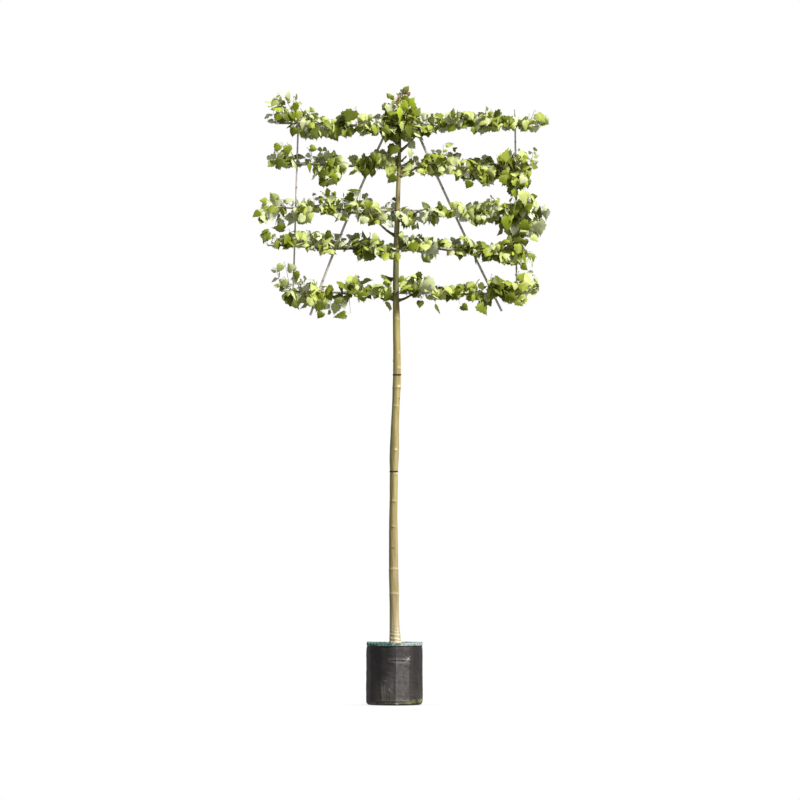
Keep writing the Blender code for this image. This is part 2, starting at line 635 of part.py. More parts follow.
def grow_place(rng, start_on, middle, space, targets, size, keep_out, own):
    """Shoots of one place on a leading stem. Each ends where its tip leaf can reach the height
    that is aimed at: leaves stand up on shoots above the stem, and hang from those below."""
    solids = []
    for k, target in enumerate(targets):
        front = -1 if (k + rng.randrange(2)) % 2 else 1
        rising = target > middle.z + 0.045
        scale = size * (YOUNG_LEAF_SCALE if rising else 1.0)
        for attempt in range(LEAF_TRIES):
            length = rng.uniform(*LEAF_LENGTH) * scale
            pitch = rng.uniform(0.35, 0.8) if rising else -rng.uniform(0.7, 0.95)
            aim = Vector((rng.uniform(-0.7, 0.7), front * rng.uniform(0.0, 0.6), pitch)).normalized()
            side = rng.uniform(-0.6, 0.6) * (space[0][1] - space[0][0]) / 2
            end = Vector((middle.x + side - aim.x * length * 0.5, front * rng.uniform(0.018, 0.085),
                          target - aim.z * length * 1.04))
            start = start_on(end.lerp(middle, 0.6))
            line = shoot_line(start, end, middle)
            forward = line[-1] - line[-2]
            if forward.length < 0.018 or forward.normalized().dot(aim) < -0.1:
                continue
            shape = line, shoot_radii(line), aim, pick_facing(rng), length
            shoot, wide = stalked_leaf(*shape), stalked_leaf(*shape, LEAF_CLEARANCE)
            blade = wide[0], wide[1][-BLADE_FACES:]
            if not all(inside(p, space) for p in shoot[0][-BLADE_CORNERS - 3:]) or crosses_itself(*shoot):
                continue
            if touches(*wide, keep_out + own[1:]) or touches(*blade, own[:1]):
                continue
            tip_tree = BVHTree.FromPolygons(*blade)
            grown = [shoot] + leaves_on_shoot(rng, line, aim, space, scale, keep_out + own + [tip_tree])
            own += [BVHTree.FromPolygons(*solid) for solid in grown]
            solids += grown
            break
    leaves = leaves_on_stem(rng, start_on, space, size, keep_out, own)
    own += [BVHTree.FromPolygons(*leaf) for leaf in leaves]
    return solids + leaves


def solid_object(name, corners, faces):
    bm = bmesh.new()
    verts = [bm.verts.new(c) for c in corners]
    for face in faces:
        bm.faces.new([verts[i] for i in face])
    return add_object(name, bm, smooth=False)


def spread(low, high, spacing):
    """Heights to aim at, from one end of a reach to the other."""
    count = max(2, round((high - low) / spacing))
    return [lerp(low, high, i / (count - 1)) for i in range(count)]


def build_mass(name, path, radii, places, foliage, keep_out):
    """One mass: its leading stem with every shoot and leaf fused on."""
    bm = bmesh.new()
    tube(bm, path, radii, FOLIAGE_STEM_SIDES, (0, 1, 1))
    mass = add_object(name, bm, foliage)
    solids, own = [], [tree_of(mass)]
    for index, place in enumerate(places):
        rng = random.Random(f"{name} {index}")
        solids += grow_place(rng, *place, keep_out, own)
    objects = [solid_object(f"{name}_{i}", *solid) for i, solid in enumerate(solids)]
    join_by_boolean(mass, "UNION", objects, "MANIFOLD")
    keep_largest_shell(mass)
    mass.data.materials.clear()
    mass.data.materials.append(foliage)
    return mass


def keep_largest_shell(ob):
    """Drops any loose scrap that the union left beside the mass."""
    bm = bmesh.new()
    bm.from_mesh(ob.data)
    bmesh.ops.triangulate(bm, faces=bm.faces)
    seen, shells = set(), []
    for first in bm.faces:
        if first in seen:
            continue
        seen.add(first)
        shell = [first]
        for face in shell:
            pairs = [edge.link_faces for edge in face.edges if len(edge.link_faces) == 2]
            joined = {other for pair in pairs for other in pair} - seen
            seen |= joined
            shell += joined
        shells.append(shell)
    shells.sort(key=len)
    scraps = [face for shell in shells[:-1] for face in shell]
    bmesh.ops.delete(bm, geom=scraps, context="FACES")
    bm.to_mesh(ob.data)
    bm.free()


def tree_of(ob):
    corners = [ob.matrix_world @ v.co for v in ob.data.vertices]
    return BVHTree.FromPolygons(corners, [tuple(p.vertices) for p in ob.data.polygons])


def tier_places(side, tier, path):
    out = 1 if side == "right" else -1
    places = []

    def start_on(near):
        return path_point(path[1:], near.x)

    for distance, rise, hang in SHOOTS[side, tier]:
        x = STEM_TOP_X + out * distance / 1000
        middle = cane_point(tier, x)
        low, high = middle.z - hang / 1000, middle.z + rise / 1000
        half = SHOOT_HALF_WIDTH
        space = ((x - half, x + half), (-CROWN_DEPTH, CROWN_DEPTH), (low, high))
        places.append((start_on, middle, space, spread(low, high, SHOOT_SPACING), 1.0))
    return places


def leader_places(path):
    places = []
    foot, tip = path[0], path[-1]

    def start_on(near):
        return foot.lerp(tip, min(0.97, max(0.06, (near.z - foot.z) / (tip.z - foot.z))))

    for height, left, right in LEADER_SHOOTS:
        middle = foot.lerp(tip, height / 1000 / LEADER_TIP[1])
        low, high = middle.z - LEADER_HALF_HEIGHT, min(middle.z + LEADER_HALF_HEIGHT, tip.z + LEADER_TOP_LEAF)
        space = ((middle.x - left / 1000, middle.x + right / 1000), (-LEADER_DEPTH, LEADER_DEPTH), (low, high))
        places.append((start_on, middle, space, spread(low, high, LEADER_SPACING), LEADER_LEAF_SCALE))
    return places


def build_foliage():
    foliage = finish("lime_foliage", (0.115, 0.190, 0.035), 0.6)
    keep_out = [tree_of(ob) for ob in bpy.context.scene.objects if ob.type == "MESH"]
    for tier in BOUGHS:
        for side in ("left", "right"):
            path = leading_stem(side, tier)
            radii = [lerp(FOLIAGE_STEM_RADIUS, FOLIAGE_STEM_TIP_RADIUS, i / (len(path) - 1))
                     for i in range(len(path))]
            mass = build_mass(f"foliage_{side}_{tier}", path, radii, tier_places(side, tier, path),
                              foliage, keep_out)
            keep_out.append(tree_of(mass))
    top = stem_centre(STEM[-1][0])
    foot = top + Vector((0, 0, GAP * 1.2))
    tip = Vector((LEADER_TIP[0], foot.y - 0.012, foot.z + LEADER_TIP[1]))
    path = [foot, foot + Vector((0, 0, STEM_STRAIGHT)), foot.lerp(tip, 0.55) + Vector((-0.004, -0.003, 0)), tip]
    radii = [STEM[-1][2] / 2 * 0.9, FOLIAGE_STEM_RADIUS, 0.0048, FOLIAGE_STEM_TIP_RADIUS]
    build_mass("foliage_leader", path, radii, leader_places(path), foliage, keep_out)


STEM_TOP_X = stem_row(TIER_HEIGHTS[2])[0]

clear_scene()
build_bag()
build_root_ball()
build_hem()
build_stem()
build_stem_ties()
build_frame()
build_tier_ties()
build_boughs()
bpy.context.view_layer.update()
build_foliage()
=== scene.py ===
# %% [markdown]
# # A pleached lime sapling in a woven nursery bag
# A pleached tree is trained flat: a clear stem, then pairs of side boughs tied out along a light
# frame of bamboo canes. This notebook dresses the plain solids of such a tree. It starts from the
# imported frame, so everything below is in metres in the same space as the solids: +Z up, +X to the
# right along the canes, -Y towards the viewer, and the origin in the middle of the bag's underside.

# %% Load the frame and keep its box
import math
import random

import bpy
import numpy as np
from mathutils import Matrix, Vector, noise


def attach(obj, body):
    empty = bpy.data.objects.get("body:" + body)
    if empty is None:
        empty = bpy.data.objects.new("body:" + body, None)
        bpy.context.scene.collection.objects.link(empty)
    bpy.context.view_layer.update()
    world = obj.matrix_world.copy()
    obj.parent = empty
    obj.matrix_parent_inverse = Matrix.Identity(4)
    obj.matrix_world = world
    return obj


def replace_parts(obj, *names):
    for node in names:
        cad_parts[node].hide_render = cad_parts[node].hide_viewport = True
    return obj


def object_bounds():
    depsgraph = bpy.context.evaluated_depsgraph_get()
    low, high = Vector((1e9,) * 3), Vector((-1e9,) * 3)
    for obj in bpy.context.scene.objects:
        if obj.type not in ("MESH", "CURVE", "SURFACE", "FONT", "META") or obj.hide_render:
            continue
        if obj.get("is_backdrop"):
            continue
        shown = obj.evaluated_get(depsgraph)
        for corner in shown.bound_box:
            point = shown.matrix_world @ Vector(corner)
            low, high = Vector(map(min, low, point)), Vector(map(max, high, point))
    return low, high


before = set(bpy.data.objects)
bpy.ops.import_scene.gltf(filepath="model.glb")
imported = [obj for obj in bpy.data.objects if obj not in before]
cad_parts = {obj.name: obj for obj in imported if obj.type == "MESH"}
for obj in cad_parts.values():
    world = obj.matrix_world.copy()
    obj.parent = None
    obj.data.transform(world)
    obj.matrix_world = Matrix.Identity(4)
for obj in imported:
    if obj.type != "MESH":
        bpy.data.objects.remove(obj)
CAD_BOX = [list(corner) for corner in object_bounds()]
print("solids:", len(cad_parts), "box:", [[round(c, 3) for c in corner] for corner in CAD_BOX])

# %% [markdown]
# ## A few helpers
# Colours are written as the hex codes that a picker shows, which are sRGB. Blender works in linear
# light, so one function turns them. A second adds a node to a material, with its own settings, its
# inputs and the stops of a ramp. Many natural finishes are blotches of a few tones over a slight
# relief, so one function lays those. The last ones make a mesh object that rides on the tree.

# %% Colours, nodes and pieces
def linear(code):
    """An sRGB hex colour as linear red, green, blue and alpha."""
    parts = [int(code[i:i + 2], 16) / 255 for i in (1, 3, 5)]
    return [c / 12.92 if c <= 0.04045 else ((c + 0.055) / 1.055) ** 2.4 for c in parts] + [1.0]


def add(tree, kind, inputs=None, stops=None, **settings):
    """Adds a node. Values and sockets go to its inputs by name or number, stops to its ramp."""
    node = tree.nodes.new("ShaderNode" + kind)
    for name, value in settings.items():
        setattr(node, name, value)
    for key, value in (inputs or {}).items():
        if isinstance(value, bpy.types.NodeSocket):
            tree.links.new(value, node.inputs[key])
        else:
            node.inputs[key].default_value = value
    if stops:
        ramp = node.color_ramp
        while len(ramp.elements) < len(stops):
            ramp.elements.new(1.0)
        for element, (place, code) in zip(ramp.elements, stops):
            element.position, element.color = place, linear(code)
    return node


def new_material(name, colour, roughness, ior=1.5, metallic=0.0):
    """A material with its Principled shader, and the tree that its pattern is built in."""
    material = bpy.data.materials.new(name)
    material.use_nodes = True
    shader = material.node_tree.nodes["Principled BSDF"]
    shader.inputs["Base Color"].default_value = linear(colour)
    shader.inputs["Roughness"].default_value = roughness
    shader.inputs["IOR"].default_value = ior
    shader.inputs["Metallic"].default_value = metallic
    print("finish:", name)
    return material, material.node_tree, shader


def blotched(made, scale, detail, stops, roughness=0.5, relief=None):
    """Gives a new material blotches, scale of them to the metre, in the tones of the stops. A
    relief is its depth in metres and its strength."""
    material, tree, shader = made
    place = add(tree, "TexCoord").outputs["Object"]
    blotch = add(tree, "TexNoise", {"Vector": place, "Scale": scale, "Detail": detail,
                                    "Roughness": roughness}).outputs["Fac"]
    tones = add(tree, "ValToRGB", {"Fac": blotch}, stops=stops).outputs["Color"]
    tree.links.new(tones, shader.inputs["Base Color"])
    if relief:
        bump = add(tree, "Bump", {"Height": blotch, "Distance": relief[0], "Strength": relief[1]})
        tree.links.new(bump.outputs["Normal"], shader.inputs["Normal"])
    return material


def in_scene(name, data):
    """An object for this data, put into the scene."""
    ob = bpy.data.objects.new(name, data)
    bpy.context.scene.collection.objects.link(ob)
    return ob


def piece(name, corners, faces, materials, slot, faces_of=None, smooth=True):
    """A mesh that rides on the tree. faces_of gives each face's material, if there are several."""
    mesh = bpy.data.meshes.new(name)
    mesh.from_pydata(np.asarray(corners).tolist(), [], [list(face) for face in faces])
    for material in materials if isinstance(materials, (list, tuple)) else [materials]:
        mesh.materials.append(material)
    if faces_of is not None:
        mesh.polygons.foreach_set("material_index", np.asarray(faces_of, dtype=np.int32))
    if smooth:
        mesh.shade_smooth()
    mesh.update()
    ob = in_scene(name, mesh)
    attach(ob, "root")
    print(f"{name}: {len(faces):,} faces")
    return ob


def values(ob, name, numbers):
    """Keeps a number at each corner of a mesh, for its material to read."""
    layer = ob.data.attributes.new(name, "FLOAT", "POINT")
    layer.data.foreach_set("value", np.asarray(numbers, dtype=np.float32))


# %% [markdown]
# ## Small sums that come back again and again
# A smooth step, a hump that fades away on both sides, an angle brought back to the front, a place
# on a circle, and lumps from noise. Nearly every relief below is put together from these five.

# %% Steps, humps, angles and lumps
def lerp(a, b, t):
    return a + (b - a) * t


def step(number, low, high):
    """0 up to low, 1 from high on, and a smooth rise between them."""
    t = np.clip((number - low) / (high - low), 0, 1)
    return t * t * (3 - 2 * t)


def hump(away, width):
    """1 in the middle of a hump, and nearly nothing two widths away from it."""
    return np.exp(-(away / width) ** 2)


def from_front(degrees):
    """The same angle as -180 to 180 degrees right of the front."""
    return (degrees + 180) % 360 - 180


def on_circle(radius, angle, height):
    """A place round the upright axis, at an angle in radians right of the front."""
    return radius * np.sin(angle), -radius * np.cos(angle), height


def lumps(place, per_metre, octaves, spread=0.8):
    """Fractal noise at a place: more octaves give finer lumps on the coarse ones."""
    return noise.fractal(Vector(tuple(place)) * per_metre, spread, 2.0, octaves)


print("a hump one width away from its middle:", round(float(hump(1, 1)), 2))


# %% [markdown]
# ## Tubes, the one shape that most of a tree is made of
# A stem, a bough, a cane, a wire and a leaf stalk are all a ring of corners that moves along a
# line. Curve objects could do this, but plain arrays of corners let the bark's relief be added ring
# by ring, and join hundreds of stalks into one mesh without any merging afterwards.

# %% Rings along a line, and a heap that joins parts
def ring_faces(rings, sides, closed=False):
    """Quads between rings of corners that are numbered ring by ring."""
    low = np.arange(rings if closed else rings - 1)[:, None] * sides
    k = np.arange(sides)[None, :]
    high = (low + sides) % (rings * sides)
    quads = np.stack([low + k, low + (k + 1) % sides, high + (k + 1) % sides, high + k], axis=-1)
    return quads.reshape(-1, 4)


def tube_faces(rings, sides):
    """The quads of a tube and its two flat ends."""
    ends = [list(range(sides))[::-1], list(range((rings - 1) * sides, rings * sides))]
    return ring_faces(rings, sides).tolist() + ends


def rings_along(points, sides, face=(0.0, -1.0, 0.0)):
    """A line's points, and the ways out to the corners of its rings, the first one near face."""
    points, face = np.asarray(points, dtype=float), np.asarray(face, dtype=float)
    along = np.gradient(points, axis=0)
    along /= np.linalg.norm(along, axis=1)[:, None]
    first = face - along * (along @ face)[:, None]
    weak = np.linalg.norm(first, axis=1) < 0.05
    first[weak] = np.cross(along[weak], (1.0, 0.0, 0.0))
    first /= np.linalg.norm(first, axis=1)[:, None]
    second = np.cross(along, first)
    a = (np.arange(sides) * math.tau / sides)[None, :, None]
    return points, np.cos(a) * first[:, None] + np.sin(a) * second[:, None]


class Heap:
    """Parts that are joined into one mesh."""

    def __init__(self):
        self.corners, self.faces, self.count = [], [], 0

    def put(self, corners, faces):
        self.corners.append(np.asarray(corners))
        self.faces += [[i + self.count for i in face] for face in faces]
        self.count += len(corners)

    def tube(self, points, radii, sides, face=(0.0, -1.0, 0.0)):
        """A closed tube with flat ends."""
        points, around = rings_along(points, sides, face)
        radii = np.broadcast_to(np.asarray(radii, dtype=float), (len(points),))
        corners = points[:, None] + radii[:, None, None] * around
        self.put(corners.reshape(-1, 3), tube_faces(len(points), sides))

    def piece(self, name, materials, slot, **more):
        return piece(name, np.concatenate(self.corners), self.faces, materials, slot, **more)


def curve_through(start, pull, end, steps):
    """Points of a curve from start to end that first heads for pull."""
    t = np.linspace(0, 1, steps + 1)[:, None]
    start, pull, end = (np.asarray(p, dtype=float) for p in (start, pull, end))
    return (1 - t) ** 2 * start + 2 * t * (1 - t) * pull + t * t * end


print("a tube of 3 rings with 6 corners each has", len(tube_faces(3, 6)), "faces")


# %% [markdown]
# ## Named sizes
# These repeat the sizes that the solids were made from, so that the finer pieces land on them. Only
# the rim's band is narrower on the outside than its solid. The stem is a table of height, sideways
# offset and diameter, with a smooth curve between the rows.

# %% Sizes of the bag, the stem and the frame
BAG_RADIUS, BAG_HEIGHT, BAG_WALL, BAG_FOOT_ROUND = 0.1795, 0.388, 0.003, 0.022
HEM_OUTSIDE, HEM_INSIDE, HEM_THICKNESS = 0.014, 0.014, 0.0022
GAP = 0.0003
STEM = (
    (0.370, -0.002, 0.0700), (0.400, -0.003, 0.0640), (0.470, -0.005, 0.0570),
    (0.620, -0.007, 0.0545), (0.950, -0.008, 0.0525), (1.300, -0.008, 0.0500),
    (1.560, -0.006, 0.0500), (1.760, -0.001, 0.0485), (1.900, 0.005, 0.0470),
    (2.100, 0.010, 0.0450), (2.420, 0.010, 0.0410), (2.700, 0.009, 0.0370), (2.950, 0.014, 0.0340),
    (3.180, 0.021, 0.0295), (3.400, 0.029, 0.0250), (3.605, 0.034, 0.0180), (3.700, 0.037, 0.0140),
)
STEM_BEND_BACK = 0.006
STEM_TIE_HEIGHTS, STEM_TIE_HEIGHT = (1.467, 2.077), 0.008
TIER_HEIGHTS = (3.657, 3.393, 3.115, 2.870, 2.592)      # tier 1 is the highest
TIER_LIFT_LEFT = (0.019, 0.030, 0.026, 0.030, 0.026)
CANE_LEFT, CANE_RIGHT, CANE_RADIUS, CANE_FRONT = -0.797, 0.815, 0.0060, 0.0212
UPRIGHT_RADIUS, BRACE_RADIUS, TIER_TIE_WIRE = 0.0058, 0.0080, 0.0016
UPRIGHTS = {"left": ((-0.607, 3.702), (-0.641, 2.548)), "right": ((0.762, 3.757), (0.772, 2.536))}
BRACES = {"left": ((-0.016, 3.692), (-0.532, 2.454), -0.020),
          "right": ((0.110, 3.692), (0.677, 2.480), -0.010)}
BOUGH_ROOT_RADIUS, BOUGH_TIP_RADIUS = 0.0098, 0.0066
BOUGHS = {
    1: ((3.535, 0.066, 0.056), (3.490, 0.066, 0.068)),
    2: ((3.425, 0.080, 0.034), (3.330, 0.070, 0.036)),
    3: ((2.952, 0.082, 0.070), (3.052, 0.084, 0.036)),
    4: ((2.826, 0.080, 0.046), (2.905, 0.088, 0.004)),
    5: ((2.552, 0.078, 0.034), (2.545, 0.070, 0.032)),
}
print("stem to", STEM[-1][0], "m, frame", round(CANE_RIGHT - CANE_LEFT, 3), "m wide")


# %% Where the stem's middle and its bark are
def stem_row(z):
    """Sideways offset and diameter of the stem at a height."""
    z = min(max(z, STEM[0][0]), STEM[-1][0])
    k = next(i for i in range(len(STEM) - 1) if STEM[i + 1][0] >= z)
    before, low, high, after = (STEM[min(max(i, 0), len(STEM) - 1)] for i in range(k - 1, k + 3))
    span = high[0] - low[0]
    t, row = (z - low[0]) / span, []
    for c in (1, 2):
        slope_low = (high[c] - before[c]) / (high[0] - before[0]) * span
        slope_high = (after[c] - low[c]) / (after[0] - low[0]) * span
        row.append((2 * t**3 - 3 * t**2 + 1) * low[c] + (t**3 - 2 * t**2 + t) * slope_low
                   + (3 * t**2 - 2 * t**3) * high[c] + (t**3 - t**2) * slope_high)
    return row


def stem_radius(z):
    return stem_row(z)[1] / 2


def stem_centre(z):
    """The stem is bowed below the frame, and drawn back against the canes within it."""
    x, diameter = stem_row(z)
    held = CANE_FRONT - GAP - diameter / 2
    foot, top = STEM[0][0], TIER_HEIGHTS[-1] - 0.12
    if z >= top:
        return Vector((x, held, z))
    t = (z - foot) / (top - foot)
    held_at_top = CANE_FRONT - GAP - stem_row(top)[1] / 2
    return Vector((x, held_at_top * t - STEM_BEND_BACK * math.sin(math.tau * 0.9 * t), z))


# Where the bark swells or leans beyond the table: height, and how far its left and its right side
# lie to the right of it, in millimetres. The swellings are old pruning wounds.
SWELLINGS = (
    (0.37, 2, 14), (0.44, 3, 13), (0.49, 3.5, 10), (0.57, 4, 8), (0.64, 4, 8.5), (0.72, 2.5, 10),
    (0.80, 0, 7), (0.95, 0, 5), (1.10, 0, 3.5), (1.18, 0.5, 1.5), (1.30, 3.5, 2.5), (1.40, 3, 4.5),
    (1.47, 3.5, 3), (1.55, 0, 9), (1.63, 1.5, 10), (1.70, 3, 7), (1.79, 4, 5), (1.92, 4.5, 5.5),
    (2.00, 3.5, 9.5), (2.08, 4.5, 9.5), (2.20, 4, 8), (2.32, 2, 6), (2.44, 0.5, 5), (2.56, 0, 0),
)


def bark_shift(z, b):
    """Sideways shift of the bark at a height, and at an angle in radians right of the front."""
    heights, left, right = zip(*SWELLINGS)
    low, high = float(np.interp(z, heights, left)), float(np.interp(z, heights, right))
    return ((low + high) / 2 + (high - low) / 2 * math.sin(b)) * 0.0009


def cane_point(tier, x):
    lift = TIER_LIFT_LEFT[tier - 1] * max(0.0, x / CANE_LEFT) ** 1.3
    return Vector((x, CANE_FRONT + CANE_RADIUS, TIER_HEIGHTS[tier - 1] + lift))


STEM_TOP_X = stem_row(TIER_HEIGHTS[2])[0]
print("the stem is", round(stem_radius(1.3) * 2000), "mm thick at breast height")

# %% [markdown]
# ## The bag: woven polypropylene tape
# Nursery bags of this kind are woven from flat, slit polypropylene tape about 2.8 mm wide, black
# with carbon so that sunlight doesn't rot it. The tape is smooth, so the cloth has a dull grey
# sheen where it faces the light. The weave is too fine to show from a few metres away, so it is
# drawn from tapes twice as wide. It is built from a checker, which says which tape lies on top, and
# two waves, which give each tape its rounded section. The black is cloudy over a hand's width (9 to
# the metre), the dust is flecked every 20 mm (48), and the cloth crinkles every 13 mm (75). Bloom,
# earth, crust and scuffs are laid on by values kept in the mesh. The bloom on the panel that faces
# the sun is painted sheen, and some scuffs are painted highlights on crease ridges.

# %% Woven tape, dusty at the foot
TAPE = 0.0056                 # metres, twice the real tape so that it shows
ONE_PER_UNIT = math.pi / 10   # the scale at which a wave repeats once in each unit
woven_tape, tree, shader = new_material("black woven polypropylene tape", "#2b282a", 0.52, ior=1.42)
uv = add(tree, "UVMap", uv_map="cloth").outputs["UV"]
tapes = add(tree, "Mapping", {"Vector": uv, "Scale": (1 / TAPE, 1 / TAPE, 1)}).outputs["Vector"]
over = add(tree, "TexChecker", {"Vector": tapes, "Scale": 1.0, "Color1": (1, 1, 1, 1),
                                "Color2": (0, 0, 0, 1)}).outputs["Fac"]
across, upright = (add(tree, "TexWave", {"Vector": tapes, "Scale": ONE_PER_UNIT},
                       bands_direction=way).outputs["Fac"] for way in "XY")
weave = add(tree, "Mix", {"Factor": over, 2: across, 3: upright}, data_type="FLOAT").outputs[0]
mottle = add(tree, "TexNoise", {"Vector": uv, "Scale": 9.0, "Detail": 6.0,
                                "Roughness": 0.62}).outputs["Fac"]
cloth = add(tree, "ValToRGB", {"Fac": mottle}, stops=(
    (0.34, "#171213"), (0.52, "#221d1d"), (0.72, "#2e2928"))).outputs["Color"]
specks = add(tree, "TexNoise", {"Vector": uv, "Scale": 48.0, "Detail": 6.0,
                                "Roughness": 0.65}).outputs["Fac"]
fleck = add(tree, "MapRange", {"Value": specks, "From Min": 0.3, "From Max": 0.7, "To Min": 0.55,
                               "To Max": 1.35}).outputs["Result"]
# What lies on the cloth: a grey bloom of dust, which on the panel that faces the sun is painted
# sheen, dry earth, a green crust at the foot, and scuffs that show the bare tape, some of them
# painted highlights along crease ridges and the foot's edge.
FILMS = {"bloom": "#5b5653", "earth": "#47423a", "crust": "#827e4e", "scuffs_and_highlights": "#a8a39b"}
for film, colour in FILMS.items():
    here = add(tree, "Attribute", attribute_name=film).outputs["Fac"]
    here = add(tree, "Math", {0: here, 1: fleck}, operation="MULTIPLY").outputs[0]
    cloth = add(tree, "Mix", {"Factor": here, 6: cloth, 7: linear(colour)}, data_type="RGBA",
                clamp_factor=True).outputs[2]
tree.links.new(cloth, shader.inputs["Base Color"])
crinkle = add(tree, "TexNoise", {"Vector": uv, "Scale": 75.0, "Detail": 4.0}).outputs["Fac"]
soft = add(tree, "Bump", {"Height": crinkle, "Distance": 0.0016, "Strength": 0.7})
relief = add(tree, "Bump", {"Height": weave, "Distance": 0.0005, "Strength": 0.6,
                            "Normal": soft.outputs["Normal"]})
tree.links.new(relief.outputs["Normal"], shader.inputs["Normal"])
print("tapes round the bag:", round(math.tau * BAG_RADIUS / TAPE))

# %% [markdown]
# ## The bag's shape: a shell that sags over its fill
# The bag could be dropped on its fill by a cloth simulation. Here its creases are known one by one,
# so the shell is a grid of rings whose radius is worked out at each corner: flat panels where the
# cloth spans between stiff folds, single creases laid on as narrow ridges or dents along a line,
# and a fine crackle from noise. The grid goes on over the rim and down inside to the foot again, so
# the bag is a true shell with the soil standing in it.

# %% Creases and panels of the bag
# Stiff folds with a flat panel between each two, in degrees right of the front
PANELS = (-118, -84, -58, -27, 3, 33, 62, 96, 131, 166, 205)
# Degrees and height at each end, half width and rise, in millimetres
CREASES = (
    (3.2, 362, 2.9, 40, 2.4, 2.2), (0.6, 360, 0.8, 190, 2.8, -2.4), (32, 350, 33, 60, 4.5, -2.0),
    (-12, 292, 14, 293, 4.5, 2.6), (12, 292, 35, 281, 4.5, 3.0), (-9, 281, 36, 270, 5.5, -3.0),
    (25, 276, 34, 308, 2.6, 2.4), (34, 280, 24, 304, 2.4, 2.0), (-16, 268, 6, 262, 5.0, 1.4),
    (-42, 186, -38, 36, 4.2, 2.4), (-35, 160, -31, 24, 4.0, -2.2), (-28, 176, -25, 22, 4.0, 2.4),
    (-20, 140, -17, 16, 3.8, -2.0), (-13, 132, -9, 18, 3.8, 2.0), (-24, 210, -6, 196, 5.0, 1.6),
    (-52, 300, -46, 190, 6.0, -2.0), (-64, 140, -44, 96, 6.0, 2.0), (-70, 330, -50, 318, 5.0, 1.8),
    (-74, 250, -60, 226, 6.0, 2.0), (10, 190, 27, 178, 5.0, 1.6), (12, 120, 20, 40, 4.0, 1.6),
    (8, 46, 22, 14, 4.0, 1.6), (20, 84, 28, 26, 3.6, -1.8), (40, 240, 52, 130, 4.5, -1.8),
    (56, 210, 60, 96, 4.0, 1.9), (38, 150, 70, 136, 5.0, 1.6), (30, 66, 52, 44, 4.0, 2.2),
    (38, 48, 66, 30, 3.2, -2.0), (62, 60, 84, 36, 4.0, 2.0), (-60, 30, 60, 27, 5.0, 2.4),
    (-66, 17, 58, 15, 4.0, -2.6),
)
SIDES_ROUND, ROWS_UP = 300, 104
CLOTH = BAG_WALL * 0.8        # thickness of the cloth
DEEPEST_PANEL, TAUT = 5.5, 0.62     # how far a panel may lie back, in millimetres, and its share
RIM_MARGIN = 24               # millimetres under the rim that stay free of creases


def more_creases(count):
    """More creases, for the sides and the back."""
    rng = random.Random(41)
    for _ in range(count):
        middle, height = rng.uniform(80, 285), rng.uniform(25, 330)
        lean, rise = rng.uniform(-14, 14), rng.choice((-1, 1)) * rng.uniform(18, 60)
        yield (middle, height - rise / 2, middle + lean, height + rise / 2, rng.uniform(3, 6),
               rng.choice((-1, 1)) * rng.uniform(1.0, 2.4))


def ridge(turn, height, crease):
    """How much one crease lifts the cloth at a place: a soft ridge along a short line."""
    turn_a, low, turn_b, high, half, rise = crease
    arc = math.radians(1) * BAG_RADIUS * 1000
    px, pz = from_front(turn - turn_a) * arc, height - low
    dx, dz = (turn_b - turn_a) * arc, high - low
    t = np.clip((px * dx + pz * dz) / (dx * dx + dz * dz), 0, 1)
    fading = 0.35 + 0.65 * np.sin(math.pi * np.clip(t, 0.04, 0.96))
    return rise * hump(np.hypot(px - t * dx, pz - t * dz), half) * fading


def cloth_offset(turn, height):
    """Offset of the cloth from the plain round bag, in millimetres, at an angle and a height."""
    folds = np.sort(np.array(PANELS, dtype=float))
    off, below_rim = np.zeros_like(turn), BAG_HEIGHT * 1000 - height
    wrapped = (turn - folds[0]) % 360 + folds[0]
    for low, high in zip(folds, np.append(folds[1:], folds[0] + 360)):
        a = np.radians(wrapped - (low + high) / 2)
        chord = BAG_RADIUS * 1000 * (math.cos(math.radians(high - low) / 2) / np.cos(a) - 1)
        within = (wrapped >= low) & (wrapped < high)
        off = np.where(within, np.clip(chord, -DEEPEST_PANEL, 0) * TAUT, off)
    held = np.clip(1 - hump(below_rim, 26), 0, 1) * np.clip(height / 50, 0.25, 1)
    off = off * held + 1.6 * hump(height - 90, 70)
    for crease in list(CREASES) + list(more_creases(26)):
        off = off + ridge(turn, height, crease) * np.clip((below_rim - RIM_MARGIN) / 8, 0, 1)
    return off


print(len(PANELS), "panels and", len(CREASES), "creases that are placed one by one")


# %% Build the shell
DRAWN_IN = 0.0036             # metres by which the rim's thread pulls the mouth in
PINCHED = 0.0045              # metres by which the mouth stands in further on the left
FALLS_IN = 0.0012             # metres by which the slack cloth lies inside the bag's plain radius
CRACKLE = 0.9                 # millimetres of fine crackle
FOOT_RUCK = 0.0022            # metres by which the cloth rucks up at the foot
TUCKED_UP = 0.0105            # metres by which the foot's right side is tucked up, off the ground


def draw_in(z):
    """How far the bag narrows towards its rim, at a height."""
    return DRAWN_IN * step(z, 0.335, 0.380)


def pinch(turn_degrees):
    """How far the rim stands in at an angle."""
    return PINCHED * hump(from_front(turn_degrees + 82), 34)


def bag_rows():
    """Radius, height and freedom of the cloth: out along the foot, up, over the rim and back."""
    rows = [(r, 0.0, 0.0) for r in np.linspace(0.004, BAG_RADIUS - BAG_FOOT_ROUND, 9)]
    for i in range(1, 9):
        a = math.pi / 2 * i / 8
        rows.append((BAG_RADIUS - BAG_FOOT_ROUND * (1 - math.sin(a)),
                     BAG_FOOT_ROUND * (1 - math.cos(a)), i / 8))
    wall = np.linspace(BAG_FOOT_ROUND, BAG_HEIGHT - 0.0008, ROWS_UP)[1:]
    rows += [(BAG_RADIUS, z, 1.0) for z in wall]
    inside = [(r * (1 - CLOTH / BAG_RADIUS), CLOTH + z * (1 - CLOTH / BAG_HEIGHT), free)
              for r, z, free in rows[::-1]]
    rows += [(BAG_RADIUS - CLOTH / 2, BAG_HEIGHT, 1.0)] + inside
    return np.array([(r - draw_in(z), z, free) for r, z, free in rows])


